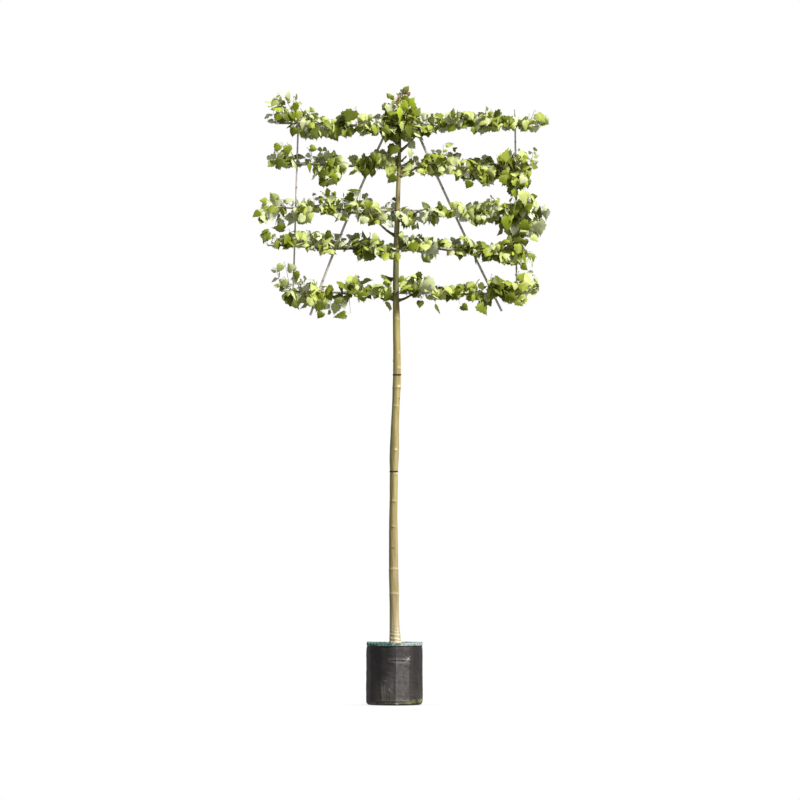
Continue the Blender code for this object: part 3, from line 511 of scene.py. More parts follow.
rows = bag_rows()
turn = np.arange(SIDES_ROUND) * 360.0 / SIDES_ROUND
row_radius, row_height, free = rows.T[:, :, None]
near_rim = np.clip((row_height - 0.362) / 0.018, 0, 1)
offset = cloth_offset(turn + 0 * row_height, row_height * 1000 + 0 * turn)
crackle = np.array([[lumps(on_circle(r, math.radians(t), z), 34, 4, spread=0.9) for t in turn]
                    for r, z, _ in rows])
still = np.clip((BAG_HEIGHT - 0.016 - row_height) / 0.02, 0, 1)
radius = row_radius - near_rim * pinch(turn)
radius += free * (offset + crackle * CRACKLE * still) / 1000 - FALLS_IN * free
foot_lift = FOOT_RUCK * np.clip(crackle + 0.3, 0, 1) * (row_height < 0.02) * (free > 0)
foot_lift += TUCKED_UP * hump(turn - 84, 34) * free ** 1.5 * np.clip(1 - row_height / 0.07, 0, 1)
bag_corners = np.stack(on_circle(radius, np.radians(turn), row_height + foot_lift), axis=-1)
bag_corners = bag_corners.reshape(-1, 3)
bag_faces = tube_faces(len(rows), SIDES_ROUND)
bag = piece("woven_bag_cloth", bag_corners, bag_faces, woven_tape, "woven_bag")
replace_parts(bag, "root_bag")

# %% Lay out its cloth, and where dust and scuffs lie on it
round_at = np.tile(turn, len(rows))
height_at = np.repeat(rows[:, 1], SIDES_ROUND) * 1000
layer = bag.data.uv_layers.new(name="cloth")
corner_of = np.zeros(len(bag.data.loops), dtype=np.int32)
bag.data.loops.foreach_get("vertex_index", corner_of)
along_cloth = np.cumsum(np.hypot(*np.diff(np.vstack([rows[:1, :2], rows[:, :2]]), axis=0).T))
u = np.radians(round_at)[corner_of] * BAG_RADIUS
v = np.repeat(along_cloth, SIDES_ROUND)[corner_of]
# The cloth is laid out by metres round the bag and up it, so each quad that closes the ring gets
# one full turn more at its far side.
sheet = 4 * (len(bag_faces) - 2)
quads = u[:sheet].reshape(-1, 4)
far = quads.max(axis=1) - quads.min(axis=1) > BAG_RADIUS
quads[far] = np.where(quads[far] < BAG_RADIUS, quads[far] + math.tau * BAG_RADIUS, quads[far])
u[:sheet] = quads.reshape(-1)
layer.data.foreach_set("uv", np.stack([u, v], axis=1).astype(np.float32).reshape(-1))
side_at = from_front(round_at)


def patch(turn_at, wide, height, tall):
    """A soft patch on the cloth, round an angle in degrees and a height in millimetres."""
    return hump(side_at - turn_at, wide) * hump(height_at - height, tall)


grain = np.array([lumps(c, 26, 5) for c in bag_corners])
streaks = np.array([lumps((t * 0.16, 7.0, h * 0.012), 1, 4) for t, h in zip(side_at, height_at)])
clear = step(height_at, 14, 22)                       # the foot's rounded edge stays black, as painted shade under its rounding
left_of_panel = 1 - step(side_at, 1.9, 3.6)
# The panel from 3 to 34 degrees right of the front faces the sun, and its grey bloom there is
# painted sheen, half as strong above about 290 mm. The other patches are dust.
panel = (1 - left_of_panel) * (1 - step(side_at, 29.5, 34)) * (1 - 0.5 * step(height_at, 270, 310))
bloom = panel * (0.70 + 0.30 * grain) + (0.60 + 0.8 * streaks) * patch(-20, 18, 84, 66)
bloom += 0.26 * hump(side_at - 3, 11) * left_of_panel
bloom += 0.30 * patch(-8, 9, 150, 60) + 0.22 * patch(20, 40, 372, 9)
bloom += (0.30 + 0.5 * grain) * (patch(150, 38, 170, 110) + patch(-128, 26, 210, 100))
earth = 0.32 - 0.26 * step(side_at, 36, 48)
earth *= step(side_at, 30, 35) * (1 - step(side_at, 96, 125))
earth += 0.8 * patch(-29, 21, 66, 62) + 0.45 * patch(66, 26, 58, 40) + 0.5 * patch(180, 60, 80, 60)
earth += (0.25 + 0.8 * grain) * (patch(-74, 16, 320, 60) + patch(-70, 14, 110, 60))
crust = 1.05 * patch(64, 24, 22, 11) + 0.8 * patch(30, 18, 14, 8) + 0.35 * patch(-20, 46, 13, 6)
crust = crust * (0.75 + 1.4 * grain) + 0.25 * patch(170, 70, 24, 10)
for name, numbers in (("bloom", bloom * clear), ("earth", earth * clear), ("crust", crust)):
    values(bag, name, np.clip(numbers, 0, 1.2))
# Scuffs that bare the tape, and painted highlights along the crease ridges near 280 mm, on the
# X-shaped fold and on the foot's edge.
# Degrees and height at each end, half width in millimetres, and strength
SCUFFS_AND_HIGHLIGHTS = (
    (-12, 290, 34, 287, 2.6, 0.42), (20, 279, 33, 276, 2.6, 0.5), (25, 276, 34, 308, 1.9, 0.8),
    (34, 280, 24, 304, 1.7, 0.6), (-28, 150, -25, 60, 1.8, 0.30), (-20, 132, -18, 44, 1.6, 0.26),
    (-12, 108, -5, 82, 2.4, 0.36), (-24, 156, -14, 152, 2.0, 0.28), (12, 90, 20, 58, 2.0, 0.24),
    (3, 13, 8, 6, 5.0, 1.7), (9, 17, 24, 14, 2.2, 0.55), (-20, 19, -6, 17, 1.8, 0.30),
    (56, 210, 60, 96, 2.0, 0.16), (-58, 250, -56, 120, 2.0, 0.14), (140, 260, 150, 120, 2.4, 0.3),
    (206, 300, 190, 210, 2.4, 0.3), (250, 220, 256, 90, 2.4, 0.3),
)
scuffs_and_highlights = sum(power * np.clip(ridge(round_at, height_at, (t1, z1, t2, z2, half, 1.0)), 0, 1)
            for t1, z1, t2, z2, half, power in SCUFFS_AND_HIGHLIGHTS)
values(bag, "scuffs_and_highlights", np.clip(scuffs_and_highlights * (0.9 + 1.2 * grain), 0, 1.1))
print("the crust covers", round(float((crust > 0.2).mean()) * 100, 1), "% of the cloth")

# %% [markdown]
# ## The rim: a folded edge under overlock thread
# The raw edge is folded and bound by an overlock machine: loops of polyester yarn that run from
# below the fold, over the rim and down inside, caught by a chain along the lower edge. The loops
# are real tubes here. Yarn is matt and slightly hairy, so it is rough with some sheen. Its twist
# shows as lines 3 mm apart, and its colour changes in patches of about 17 mm. It is painted paler
# towards the right, as light that falls there from the sun.

# %% Sea-green polyester yarn
yarn, tree, shader = new_material("sea-green polyester overlock yarn", "#4f8f80", 0.72, ior=1.54)
shader.inputs["Sheen Weight"].default_value = 0.35
shader.inputs["Sheen Roughness"].default_value = 0.5
place = add(tree, "TexCoord").outputs["Object"]
fade = add(tree, "TexNoise", {"Vector": place, "Scale": 60.0, "Detail": 4.0}).outputs["Fac"]
deep = add(tree, "ValToRGB", {"Fac": fade}, stops=(
    (0.38, "#1d4037"), (0.50, "#34695b"), (0.60, "#5c9a86"), (0.72, "#8ccbb2"))).outputs["Color"]
# The pale grey-teal tones are painted light: they take over from the left of the bag to its right,
# on the side the sun comes from.
painted_lit_teal = add(tree, "ValToRGB", {"Fac": fade}, stops=(
    (0.36, "#617a73"), (0.50, "#a3b3ad"), (0.70, "#ccd6d2"))).outputs["Color"]
painted_light_to_right = add(tree, "MapRange", {"Value": add(tree, "SeparateXYZ", {"Vector": place}).outputs["X"],
                               "From Min": -0.05, "From Max": 0.06}).outputs["Result"]
teal_with_painted_light = add(tree, "Mix", {"Factor": painted_light_to_right, 6: deep, 7: painted_lit_teal}, data_type="RGBA").outputs[2]
tree.links.new(teal_with_painted_light, shader.inputs["Base Color"])
ply = add(tree, "TexWave", {"Vector": place, "Scale": 110.0, "Distortion": 2.0},
          bands_direction="DIAGONAL").outputs["Fac"]
twist = add(tree, "Bump", {"Height": ply, "Distance": 0.0003, "Strength": 0.5})
tree.links.new(twist.outputs["Normal"], shader.inputs["Normal"])

# %% The folded band, and 226 loops with their chain
HEM_SIDES, STITCHES = 200, 226
YARN, CHAIN_YARN = 0.00120, 0.0010          # radius of the loops and of the chain, in metres
PROUD_LOOP = 0.0032                         # metres by which every third loop stands up
hem_lower = BAG_HEIGHT - HEM_OUTSIDE
outside, inside = BAG_RADIUS + HEM_THICKNESS * 0.8, BAG_RADIUS - BAG_WALL - HEM_THICKNESS * 0.7
section = [(BAG_RADIUS + 0.0004, hem_lower), (outside - HEM_THICKNESS * 0.05, hem_lower + 0.0006)]
section += [(outside, z) for z in np.linspace(hem_lower + 0.004, BAG_HEIGHT - 0.002, 5)]
section += [(BAG_RADIUS - BAG_WALL / 2 + 0.0030 * math.cos(b),
             BAG_HEIGHT - 0.0008 + 0.0028 * math.sin(b))
            for b in np.linspace(0.15 * math.pi, 0.85 * math.pi, 7)]
section += [(inside, BAG_HEIGHT - 0.003), (inside, BAG_HEIGHT - HEM_INSIDE),
            (BAG_RADIUS - BAG_WALL - 0.0003, BAG_HEIGHT - HEM_INSIDE)]
section = [(r - draw_in(z), z) for r, z in section]


def rim_wave(turn_degrees):
    """The rim isn't quite level: it dips and rises by a millimetre or so round the bag."""
    b = np.radians(turn_degrees)
    return 0.0008 * np.sin(3 * b + 0.6) + 0.0005 * np.sin(7 * b + 2.0)


hem_turn = np.arange(HEM_SIDES) * 360 / HEM_SIDES
b = np.radians(hem_turn)
pucker = 0.0004 * np.sin(b * 57) - pinch(hem_turn)
hem_corners = [np.stack(on_circle(r + pucker, b, z + rim_wave(hem_turn)), axis=-1)
               for r, z in section]
hem = piece("folded_rim_band", np.concatenate(hem_corners),
            ring_faces(len(section), HEM_SIDES, closed=True).tolist(), yarn, "hem_thread")
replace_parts(hem, "bag_hem")
loops_of_yarn, rng = Heap(), random.Random(7)
for k in range(STITCHES):
    line, proud = [], 0.0007 + (PROUD_LOOP if k % 3 == 0 else 0.0) + rng.uniform(0, 0.0006)
    for j, (r, z) in enumerate(section[1:-1]):
        t = j / (len(section) - 3)
        turn_here = (k + 0.35 * t + rng.uniform(-0.06, 0.06)) * 360 / STITCHES
        b = math.radians(turn_here)
        clear_of_fold = 0.0006 if z > hem_lower + 0.002 and t < 0.75 else -0.0006
        line.append(on_circle(r + clear_of_fold - pinch(turn_here), b,
                              z + rim_wave(turn_here) + proud * (0.2 < t < 0.8)))
    loops_of_yarn.tube(line, YARN, 5, face=(math.sin(b), -math.cos(b), 0.2))
chain = []
for k in range(STITCHES * 4):
    b, swing = math.tau * k / (STITCHES * 4), math.sin(math.pi / 2 * k)
    r = BAG_RADIUS + HEM_THICKNESS + 0.0004 - draw_in(hem_lower) - pinch(math.degrees(b))
    chain.append(on_circle(r, b, hem_lower + 0.0012 + 0.0008 * swing))
loops_of_yarn.tube(chain + chain[:1], CHAIN_YARN, 5, face=(0, 0, 1))
loops_of_yarn.piece("overlock_loops", yarn, "hem_thread")

# %% [markdown]
# ## The top of the root ball
# Potting soil is dark, crumbly and matt: peat, bark fines and grit. From eye level the rim hides
# it, but from above it is the whole of the base. One relief surface gives the ground, and loose
# crumbs and slivers of bark lie on it as small meshes of their own. The crumbs are 4 to 5 mm
# across, 220 to the metre, and the slivers' grain changes about every 11 mm.

# %% Potting soil
soil = blotched(new_material("potting soil with bark fines", "#2e2018", 0.95, ior=1.4), 220.0, 6.0,
                ((0.32, "#150e0a"), (0.5, "#2c1e15"), (0.62, "#463224"), (0.78, "#6d543d")),
                roughness=0.7, relief=(0.002, 0.8))
chips = blotched(new_material("weathered bark slivers", "#6a4d35", 0.9, ior=1.45), 90.0, 3.0,
                 ((0.35, "#3b281a"), (0.55, "#6a4d35"), (0.75, "#94745a")))

# %% Relief of the soil, with crumbs and slivers on it
SOIL_EDGE, SOIL_TOP, SOIL_UNDERSIDE = 0.3637, 0.3697, 0.012       # heights in metres
SOIL_RINGS, SOIL_SIDES = 46, 150
CRUMBS, ROUND_STEM = 900, 0.036             # how many, and the radius round the stem kept clear
soil_wall = BAG_RADIUS - BAG_WALL - 0.0085


def soil_height(x, y):
    """The soil rises a little towards the stem, with lumps and crumbs."""
    away = min(1, math.hypot(x, y) / soil_wall)
    relief = lumps((x, y, 0.3), 38, 4) * 0.0032
    return lerp(SOIL_TOP, SOIL_EDGE, away ** 1.3) + relief * min(1, (1 - away) * 8 + 0.3)


spots = [(0.0, 0.0)]
for i in range(1, SOIL_RINGS + 1):
    spots += [on_circle(soil_wall * i / SOIL_RINGS, math.tau * k / SOIL_SIDES, 0)[:2]
              for k in range(SOIL_SIDES)]
soil_corners = [(x, y, soil_height(x, y)) for x, y in spots]
soil_corners += [(x, y, SOIL_UNDERSIDE) for x, y in spots[-SOIL_SIDES:]]
soil_faces = [[0, 1 + k, 1 + (k + 1) % SOIL_SIDES] for k in range(SOIL_SIDES)]
soil_faces += (ring_faces(SOIL_RINGS + 1, SOIL_SIDES)[:, ::-1] + 1).tolist()
soil_faces.append(list(range(len(soil_corners) - SOIL_SIDES, len(soil_corners)))[::-1])
ground = piece("root_ball_soil", soil_corners, soil_faces, soil, "potting_soil")
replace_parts(ground, "root_ball")
crumbs, slivers, rng = Heap(), Heap(), random.Random(19)
CUBE = [(x, y, z) for z in (-1, 1) for y in (-1, 1) for x in (-1, 1)]
CUBE_FACES = [(0, 2, 3, 1), (4, 5, 7, 6), (0, 1, 5, 4), (2, 6, 7, 3), (0, 4, 6, 2), (1, 3, 7, 5)]
for k in range(CRUMBS):
    r, b = soil_wall * 0.97 * math.sqrt(rng.random()), rng.uniform(0, math.tau)
    x, y = r * math.cos(b), r * math.sin(b)
    if math.hypot(x, y) < ROUND_STEM:
        continue
    size, turn_by = rng.uniform(0.0012, 0.0042), rng.uniform(0, math.tau)
    flat, long_by = (0.6, 1.0) if k % 6 else (0.25, rng.uniform(2.2, 4.0))
    corners = []
    for cx, cy, cz in CUBE:
        shrink = rng.uniform(0.55, 1.0)
        px, py = cx * size * long_by * shrink, cy * size * shrink
        corners.append((x + px * math.cos(turn_by) - py * math.sin(turn_by),
                        y + px * math.sin(turn_by) + py * math.cos(turn_by),
                        soil_height(x, y) + cz * size * flat * shrink + size * flat * 0.5))
    (crumbs if k % 6 else slivers).put(corners, CUBE_FACES)
crumbs.piece("soil_crumbs", soil, "potting_soil", smooth=False)
slivers.piece("bark_slivers", chips, "potting_soil", smooth=False)

# %% [markdown]
# ## The stem: smooth young lime bark
# A young lime has thin, smooth bark, olive-tan and slightly waxy, with fine upright cracks that let
# the colour below show, a film of green algae on the side away from the sun, and rings and oval
# eyes where old side shoots were cut off. The dark green film on that side is also painted shade.
# Sculpting could do it. Here the relief is a few functions of the angle and the height, and the
# values that lift the surface also go to the material, so that a crack is dark exactly where it is
# deep. The collar's wrinkles get painted shade in their troughs and painted highlights on their
# crests, and the pale lip above each scar is partly a painted highlight. The bark's streaks are 14
# mm wide and 200 mm long.

# %% Bark of the stem
stem_bark, tree, shader = new_material("smooth lime bark", "#b5a56c", 0.62, ior=1.45)
place = add(tree, "TexCoord").outputs["Object"]
height = add(tree, "SeparateXYZ", {"Vector": place}).outputs["Z"]
up_the_stem = add(tree, "MapRange", {"Value": height, "From Min": 0.36, "From Max": 3.70})
bark = add(tree, "ValToRGB", {"Fac": up_the_stem.outputs["Result"]}, stops=(
    (0.0, "#dfcead"), (0.03, "#d8c69e"), (0.075, "#bca877"), (0.20, "#b49e69"),
    (0.40, "#baa86b"), (0.58, "#baa869"), (0.645, "#b3a662"), (0.69, "#7f7f46"),
    (0.75, "#878550"), (0.82, "#b5a56a"), (0.92, "#a3965a"), (1.0, "#83803f"),
)).outputs["Color"]
stretched = add(tree, "Mapping", {"Vector": place, "Scale": (70.0, 70.0, 5.0)}).outputs["Vector"]
streak = add(tree, "TexNoise", {"Vector": stretched, "Scale": 1.0, "Detail": 6.0,
                                "Roughness": 0.6}).outputs["Fac"]
shade = add(tree, "ValToRGB", {"Fac": streak}, stops=(
    (0.30, "#8f8f8f"), (0.50, "#d8d8d8"), (0.68, "#ffffff"))).outputs["Color"]
bark = add(tree, "Mix", {"Factor": 0.75, 6: bark, 7: shade}, data_type="RGBA",
           blend_type="MULTIPLY").outputs[2]
# Algae with painted shade on the side away from the sun, cracks with painted shade in the collar's
# troughs, and pale lips with painted highlights are laid on by values kept in the mesh.
for film, colour in (("algae", "#555e2f"), ("crack", "#4a3d24"), ("lip", "#ece0b8")):
    here = add(tree, "Attribute", attribute_name=film).outputs["Fac"]
    bark = add(tree, "Mix", {"Factor": here, 6: bark, 7: linear(colour)}, data_type="RGBA",
               clamp_factor=True).outputs[2]
# Lenticels are corky pores 2 to 4 mm wide, wider than they are tall.
pores = add(tree, "Mapping", {"Vector": place, "Scale": (95.0, 95.0, 160.0)}).outputs["Vector"]
pore = add(tree, "TexVoronoi", {"Vector": pores, "Scale": 1.0, "Randomness": 1.0})
dots = add(tree, "ValToRGB", {"Fac": pore.outputs["Distance"]}, stops=(
    (0.10, "#ffffff"), (0.17, "#000000"))).outputs["Color"]
faint = add(tree, "Math", {0: dots, 1: 0.35}, operation="MULTIPLY").outputs[0]
bark = add(tree, "Mix", {"Factor": faint, 6: bark, 7: linear("#d8cba0")},
           data_type="RGBA").outputs[2]
tree.links.new(bark, shader.inputs["Base Color"])
grain = add(tree, "Bump", {"Height": streak, "Distance": 0.0011, "Strength": 0.55})
corky = add(tree, "Bump", {"Height": dots, "Distance": 0.0005, "Strength": 0.5,
                           "Normal": grain.outputs["Normal"]})
tree.links.new(corky.outputs["Normal"], shader.inputs["Normal"])

# %% The stem's rings, from the flare to the tip
STEM_SIDES = 72
# Scars: height, degrees right of the front, half its arc in degrees, how dark its line is, how pale
# its lip is, which is partly a painted highlight on the bulge above, and how far it stands out in
# millimetres.
SCARS = (
    (0.690, 8, 200, 0.20, 0.30, 1.0), (0.845, 20, 160, 0.26, 0.26, 1.0),
    (0.986, -6, 26, 0.80, 0.10, 1.2), (1.112, -4, 30, 0.80, 0.16, 1.6),
    (1.272, 8, 40, 0.75, 0.24, 1.4), (1.447, 40, 50, 0.35, 0.35, 1.0),
    (1.594, 20, 22, 0.50, 0.55, 1.8), (1.700, 120, 50, 0.40, 0.30, 2.0),
    (1.872, 8, 55, 0.20, 0.22, 0.9), (1.925, 62, 26, 0.90, 0.0, 1.6),
    (1.991, 20, 170, 0.45, 0.0, 1.4), (1.995, 36, 34, 0.0, 0.60, 1.8),
    (2.112, 45, 50, 0.16, 0.34, 1.0), (2.160, -84, 26, 0.40, 0.60, 2.4),
    (2.208, 40, 13, 0.10, 0.50, 1.0), (2.290, -150, 60, 0.4, 0.3, 2.0),
    (2.420, 34, 60, 0.20, 0.16, 0.8),
)
CRACK_DEPTH, FINE_RELIEF = 0.0007, 0.0006         # metres
FLARE_LOBES, COLLAR_WRINKLES = 0.0012, 0.0011     # metres that both stand out at the foot


def bark_at(z, b):
    """At a height and angle: relief, crack and algae with painted shade, pale lip with painted
    highlight.
    """
    x, y = math.sin(b), -math.cos(b)
    flare, collar = hump(z - 0.37, 0.055), hump(z - 0.40, 0.065)
    ridges = abs(noise.noise(Vector((x * 3.4, y * 3.4, z * 7.5))))
    fading = 0.35 + 0.65 * noise.noise(Vector((x, y, z * 3.0 + 9.0)))
    deep = max(0.0, max(0.0, 1.0 - ridges / 0.055) * fading)
    bend = 0.7 * math.sin(2 * b + 0.5) + 3.2 * noise.noise(Vector((x, y, z * 24)))
    wrinkle = math.sin(z * 290 + bend)
    out = FINE_RELIEF * lumps((x * 7.0, y * 7.0, z * 17.0), 1, 3, spread=0.9) - CRACK_DEPTH * deep
    out += flare * FLARE_LOBES * math.sin(5 * b + 0.8) + collar * COLLAR_WRINKLES * wrinkle
    # In the collar's wrinkles the dark troughs are painted shade and the pale crests are painted
    # highlights.
    dark, pale = 0.17 * collar * max(0.0, -wrinkle), 0.45 * collar * max(0.0, wrinkle)
    for scar, eye, arc, line, lip, proud in SCARS:
        dz = z - scar - 0.0025 * math.sin(b * 2 + eye)
        if abs(dz) > 0.035:
            continue
        past_its_arc = max(0.0, abs(from_front(math.degrees(b) - eye)) - arc * 0.6)
        here = math.exp(-past_its_arc / (arc * 0.25))
        out += here * proud * 0.001 * (hump(dz - 0.004, 0.010) - 0.6 * hump(dz, 0.003))
        dark = max(dark, here * line * hump(dz, 0.0034))
        # A scar's pale lip lies on the upper flank of its bulge: partly pale callus, partly painted
        # highlight.
        pale = max(pale, here * lip * hump(dz - 0.011, 0.006))
    # The algae film is strongest on the side away from the sun, and there it is also painted shade.
    shady = 0.5 - 0.5 * math.sin(b + 0.15)
    mould = lumps((x * 1.6, y * 1.6, z * 4.0 + 30.0), 1, 3, spread=1.0)
    green = (0.22 + 0.40 * hump(z - 1.52, 0.30) + 0.75 * hump(z - 2.68, 0.17)) * (0.10 + shady)
    green = green * (0.65 + 1.1 * mould) + 0.65 * shady ** 5 * (0.8 + 0.8 * mould)
    return (out, min(1.0, 0.55 * deep + dark), min(1.0, pale),
            max(0.0, min(0.95, green)) * (1 - 0.7 * flare))


heights = np.concatenate([np.arange(0.360, 0.52, 0.003), np.arange(0.52, 3.70, 0.0055), [3.70]])
stem_corners, coats = [], []
for z in heights.tolist():
    centre, r = stem_centre(z), stem_radius(z)
    if z < STEM[0][0]:
        r *= 1.0 + (STEM[0][0] - z) * 4
    for k in range(STEM_SIDES):
        b = math.tau * k / STEM_SIDES
        out, *coat = bark_at(z, b)
        x, y, _ = on_circle(r + out * min(1.0, r / 0.016), b, z)
        stem_corners.append((centre.x + x + bark_shift(z, b), centre.y + y, z))
        coats.append(coat)
stem = piece("stem_bark", stem_corners, tube_faces(len(heights), STEM_SIDES), stem_bark,
             "trunk_bark")
for name, numbers in zip(("crack", "lip", "algae"), zip(*coats)):
    values(stem, name, numbers)
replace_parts(stem, "trunk")

# %% [markdown]
# ## Boughs and the stems that run on from them
# Each bough leaves the stem at a swollen collar and bends to the cane. A thinner leading stem goes
# on from its tip along the front of the cane. Young wood is darker and greener than the stem's
# bark, so both take one finish of their own, patchy every 18 mm or so. A leading stem swells a
# little at each bud scar.

# %% Bark of young wood
young_bark = blotched(new_material("young lime bark", "#5c5232", 0.6, ior=1.45), 55.0, 5.0,
                      ((0.30, "#3b3320"), (0.46, "#5a4f2e"), (0.60, "#756a3c"), (0.76, "#97895a")),
                      roughness=0.65, relief=(0.0012, 0.6))

# %% The line of each bough and of its leading stem
BOUGH_SAG = 0.10              # share of its run by which a bough hangs below a straight line
SETTLES_IN = 0.200            # metres in which a leading stem comes to lie along its cane


def bough_path(side, tier):
    """From the stem's axis out to the bough's tip, easing back against the cane."""
    height, run, rise = BOUGHS[tier][side == "right"]
    out = 1 if side == "right" else -1
    start = stem_centre(height)
    end = Vector((start.x + out * (stem_radius(height) + run),
                  CANE_FRONT - BOUGH_TIP_RADIUS - GAP - 0.0006, height + rise))
    path = []
    for i in range(6):
        t = i / 5
        point = start.lerp(end, t)
        point.z -= BOUGH_SAG * run * math.sin(math.pi * t)
        path.append(point)
    return path


def leading_stem(side, tier, reach, steps=26):
    """Straight on from the bough's tip, then curving to the cane and along the front of it."""
    out = 1 if side == "right" else -1
    before, tip = bough_path(side, tier)[-2:]
    heading = (tip - before).normalized()
    joint = tip + heading * 0.0164
    end, path = STEM_TOP_X + out * reach, [tip]
    for i in range(steps + 1):
        t = i / steps
        x = lerp(joint.x, end, t)
        settled = float(step((x - joint.x) * out, 0, SETTLES_IN))
        straight_on = joint + heading * ((x - joint.x) / heading.x) * (1 - settled)
        lie = cane_point(tier, x).z - 0.008 + 0.004 * math.sin(tier * 1.7 + 9 * t)
        front = CANE_FRONT - lerp(0.0062, 0.0042, t) - 0.001
        path.append(Vector((x, lerp(min(straight_on.y, front), front, settled),
                            lerp(straight_on.z, lie, settled))))
    return path


def smooth_line(path, spacing):
    """The same line through evenly spaced points, on a smooth curve."""
    path = np.array([tuple(p) for p in path])
    lengths = np.concatenate([[0], np.cumsum(np.linalg.norm(np.diff(path, axis=0), axis=1))])
    count = max(4, round(lengths[-1] / spacing))
    places = np.linspace(0, lengths[-1], count + 1)
    line = np.stack([np.interp(places, lengths, path[:, c]) for c in range(3)], axis=1)
    for _ in range(3):
        line[1:-1] = 0.25 * line[:-2] + 0.5 * line[1:-1] + 0.25 * line[2:]
    return line


print("the top bough on the right ends at", [round(c, 3) for c in bough_path("right", 1)[-1]])


# %% Ten boughs, each with a collar at the stem
BOUGH_SIDES, BOUGH_COLLAR, BOUGH_RELIEF = 26, 0.0042, 0.0005
for tier in BOUGHS:
    for side in ("left", "right"):
        line = smooth_line(bough_path(side, tier), 0.0035)
        bark_of_stem = stem_radius(BOUGHS[tier][side == "right"][0])
        away = np.clip(np.linalg.norm(line - line[0], axis=1) - bark_of_stem, 0, 1)
        radii = lerp(BOUGH_ROOT_RADIUS, BOUGH_TIP_RADIUS - 0.0003, np.linspace(0, 1, len(line)))
        radii = radii + BOUGH_COLLAR * hump(away, 0.011)
        points, around = rings_along(line, BOUGH_SIDES)
        relief = np.array([[lumps(p + n * 0.01, 95, 3, spread=0.9) for n in ring]
                           for p, ring in zip(points, around)])
        radii = radii[:, None] + BOUGH_RELIEF * relief
        corners = (points[:, None] + radii[:, :, None] * around).reshape(-1, 3)
        bough = piece(f"bark_of_bough_{side}_{tier}", corners, tube_faces(len(line), BOUGH_SIDES),
                      young_bark, "bough_bark")
        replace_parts(bough, f"bough_{side}_{tier}")

# %% [markdown]
# ## The frame: weathered bamboo
# The canes are tonkin bamboo about 12 mm thick. Outdoors the gloss goes and the straw colour turns
# to a silvery grey-brown with dark specks of about 8 mm (130 to the metre) and fibres that run
# lengthwise. Real canes have a joint every 130 to 180 mm: a low ridge with a groove under it, where
# the cane also bends by a degree or so.

# %% Weathered bamboo
bamboo, tree, shader = new_material("weathered tonkin bamboo", "#a89c8c", 0.55, ior=1.48)
along, around, joint = (add(tree, "Attribute", attribute_name=name).outputs["Fac"]
                        for name in ("along", "round", "joint"))
stretched = add(tree, "Math", {0: along, 1: 9.0}, operation="MULTIPLY").outputs[0]
lengthwise = add(tree, "CombineXYZ", {"X": stretched, "Y": around}).outputs["Vector"]
fibres = add(tree, "TexNoise", {"Vector": lengthwise, "Scale": 3.0, "Detail": 5.0}).outputs["Fac"]
cane_colour = add(tree, "ValToRGB", {"Fac": fibres}, stops=(
    (0.30, "#aaa09c"), (0.45, "#c9bfba"), (0.58, "#ddd5cd"), (0.75, "#f0eae2"))).outputs["Color"]
speck = add(tree, "TexNoise", {"Vector": add(tree, "TexCoord").outputs["Object"], "Scale": 130.0,
                               "Detail": 3.0, "Roughness": 0.7}).outputs["Fac"]
specks = add(tree, "MapRange", {"Value": speck, "From Min": 0.58, "From Max": 0.72,
                                "To Max": 0.6}).outputs["Result"]
for here, colour in ((specks, "#4d4138"), (joint, "#5d4c3c")):
    cane_colour = add(tree, "Mix", {"Factor": here, 6: cane_colour, 7: linear(colour)},
                      data_type="RGBA", clamp_factor=True).outputs[2]
tree.links.new(cane_colour, shader.inputs["Base Color"])
lines = add(tree, "Bump", {"Height": fibres, "Distance": 0.0006, "Strength": 0.5})
tree.links.new(lines.outputs["Normal"], shader.inputs["Normal"])

# %% Nine canes with their joints
CANE_SIDES = 16
JOINT_RIDGE, JOINT_GROOVE = 0.0009, 0.0004        # metres
CANE_SWAY = 0.0012            # metres by which a cane 6 mm in radius bends at its joints


def build_cane(name, line, radius, seed, node):
    rng, line = random.Random(seed), smooth_line(line, 0.006)
    length = float(np.linalg.norm(line[-1] - line[0]))
    joints, at = [], rng.uniform(0.03, 0.12)
    while at < length - 0.02:
        joints.append(at)
        at += rng.uniform(0.13, 0.18)
    s = np.linspace(0, length, len(line))
    ridges = sum(hump(s - j, 0.0035) for j in joints)
    grooves = sum(hump(s - j + 0.006, 0.002) for j in joints)
    bends = [0] + [rng.uniform(-1, 1) for _ in joints]
    sway = np.cumsum(np.interp(s, [0] + joints, bends)) / len(s)
    sway = (sway - np.linspace(sway[0], sway[-1], len(s))) * (radius / 0.006)
    line = line + np.outer(sway, (0, 0, CANE_SWAY))
    radii = radius * (0.97 - 0.06 * s / length) + JOINT_RIDGE * ridges - JOINT_GROOVE * grooves
    heap = Heap()
    heap.tube(line, radii, CANE_SIDES, face=(0.0, -1.0, 0.1))
    cane = heap.piece(name, bamboo, "bamboo")
    side = np.abs(np.arange(CANE_SIDES) - CANE_SIDES / 2)
    values(cane, "along", np.repeat(s, CANE_SIDES))
    values(cane, "round", np.tile(side, len(s)))
    values(cane, "joint", np.repeat(np.clip(ridges * 0.5 + grooves, 0, 0.85), CANE_SIDES))
    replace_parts(cane, node)


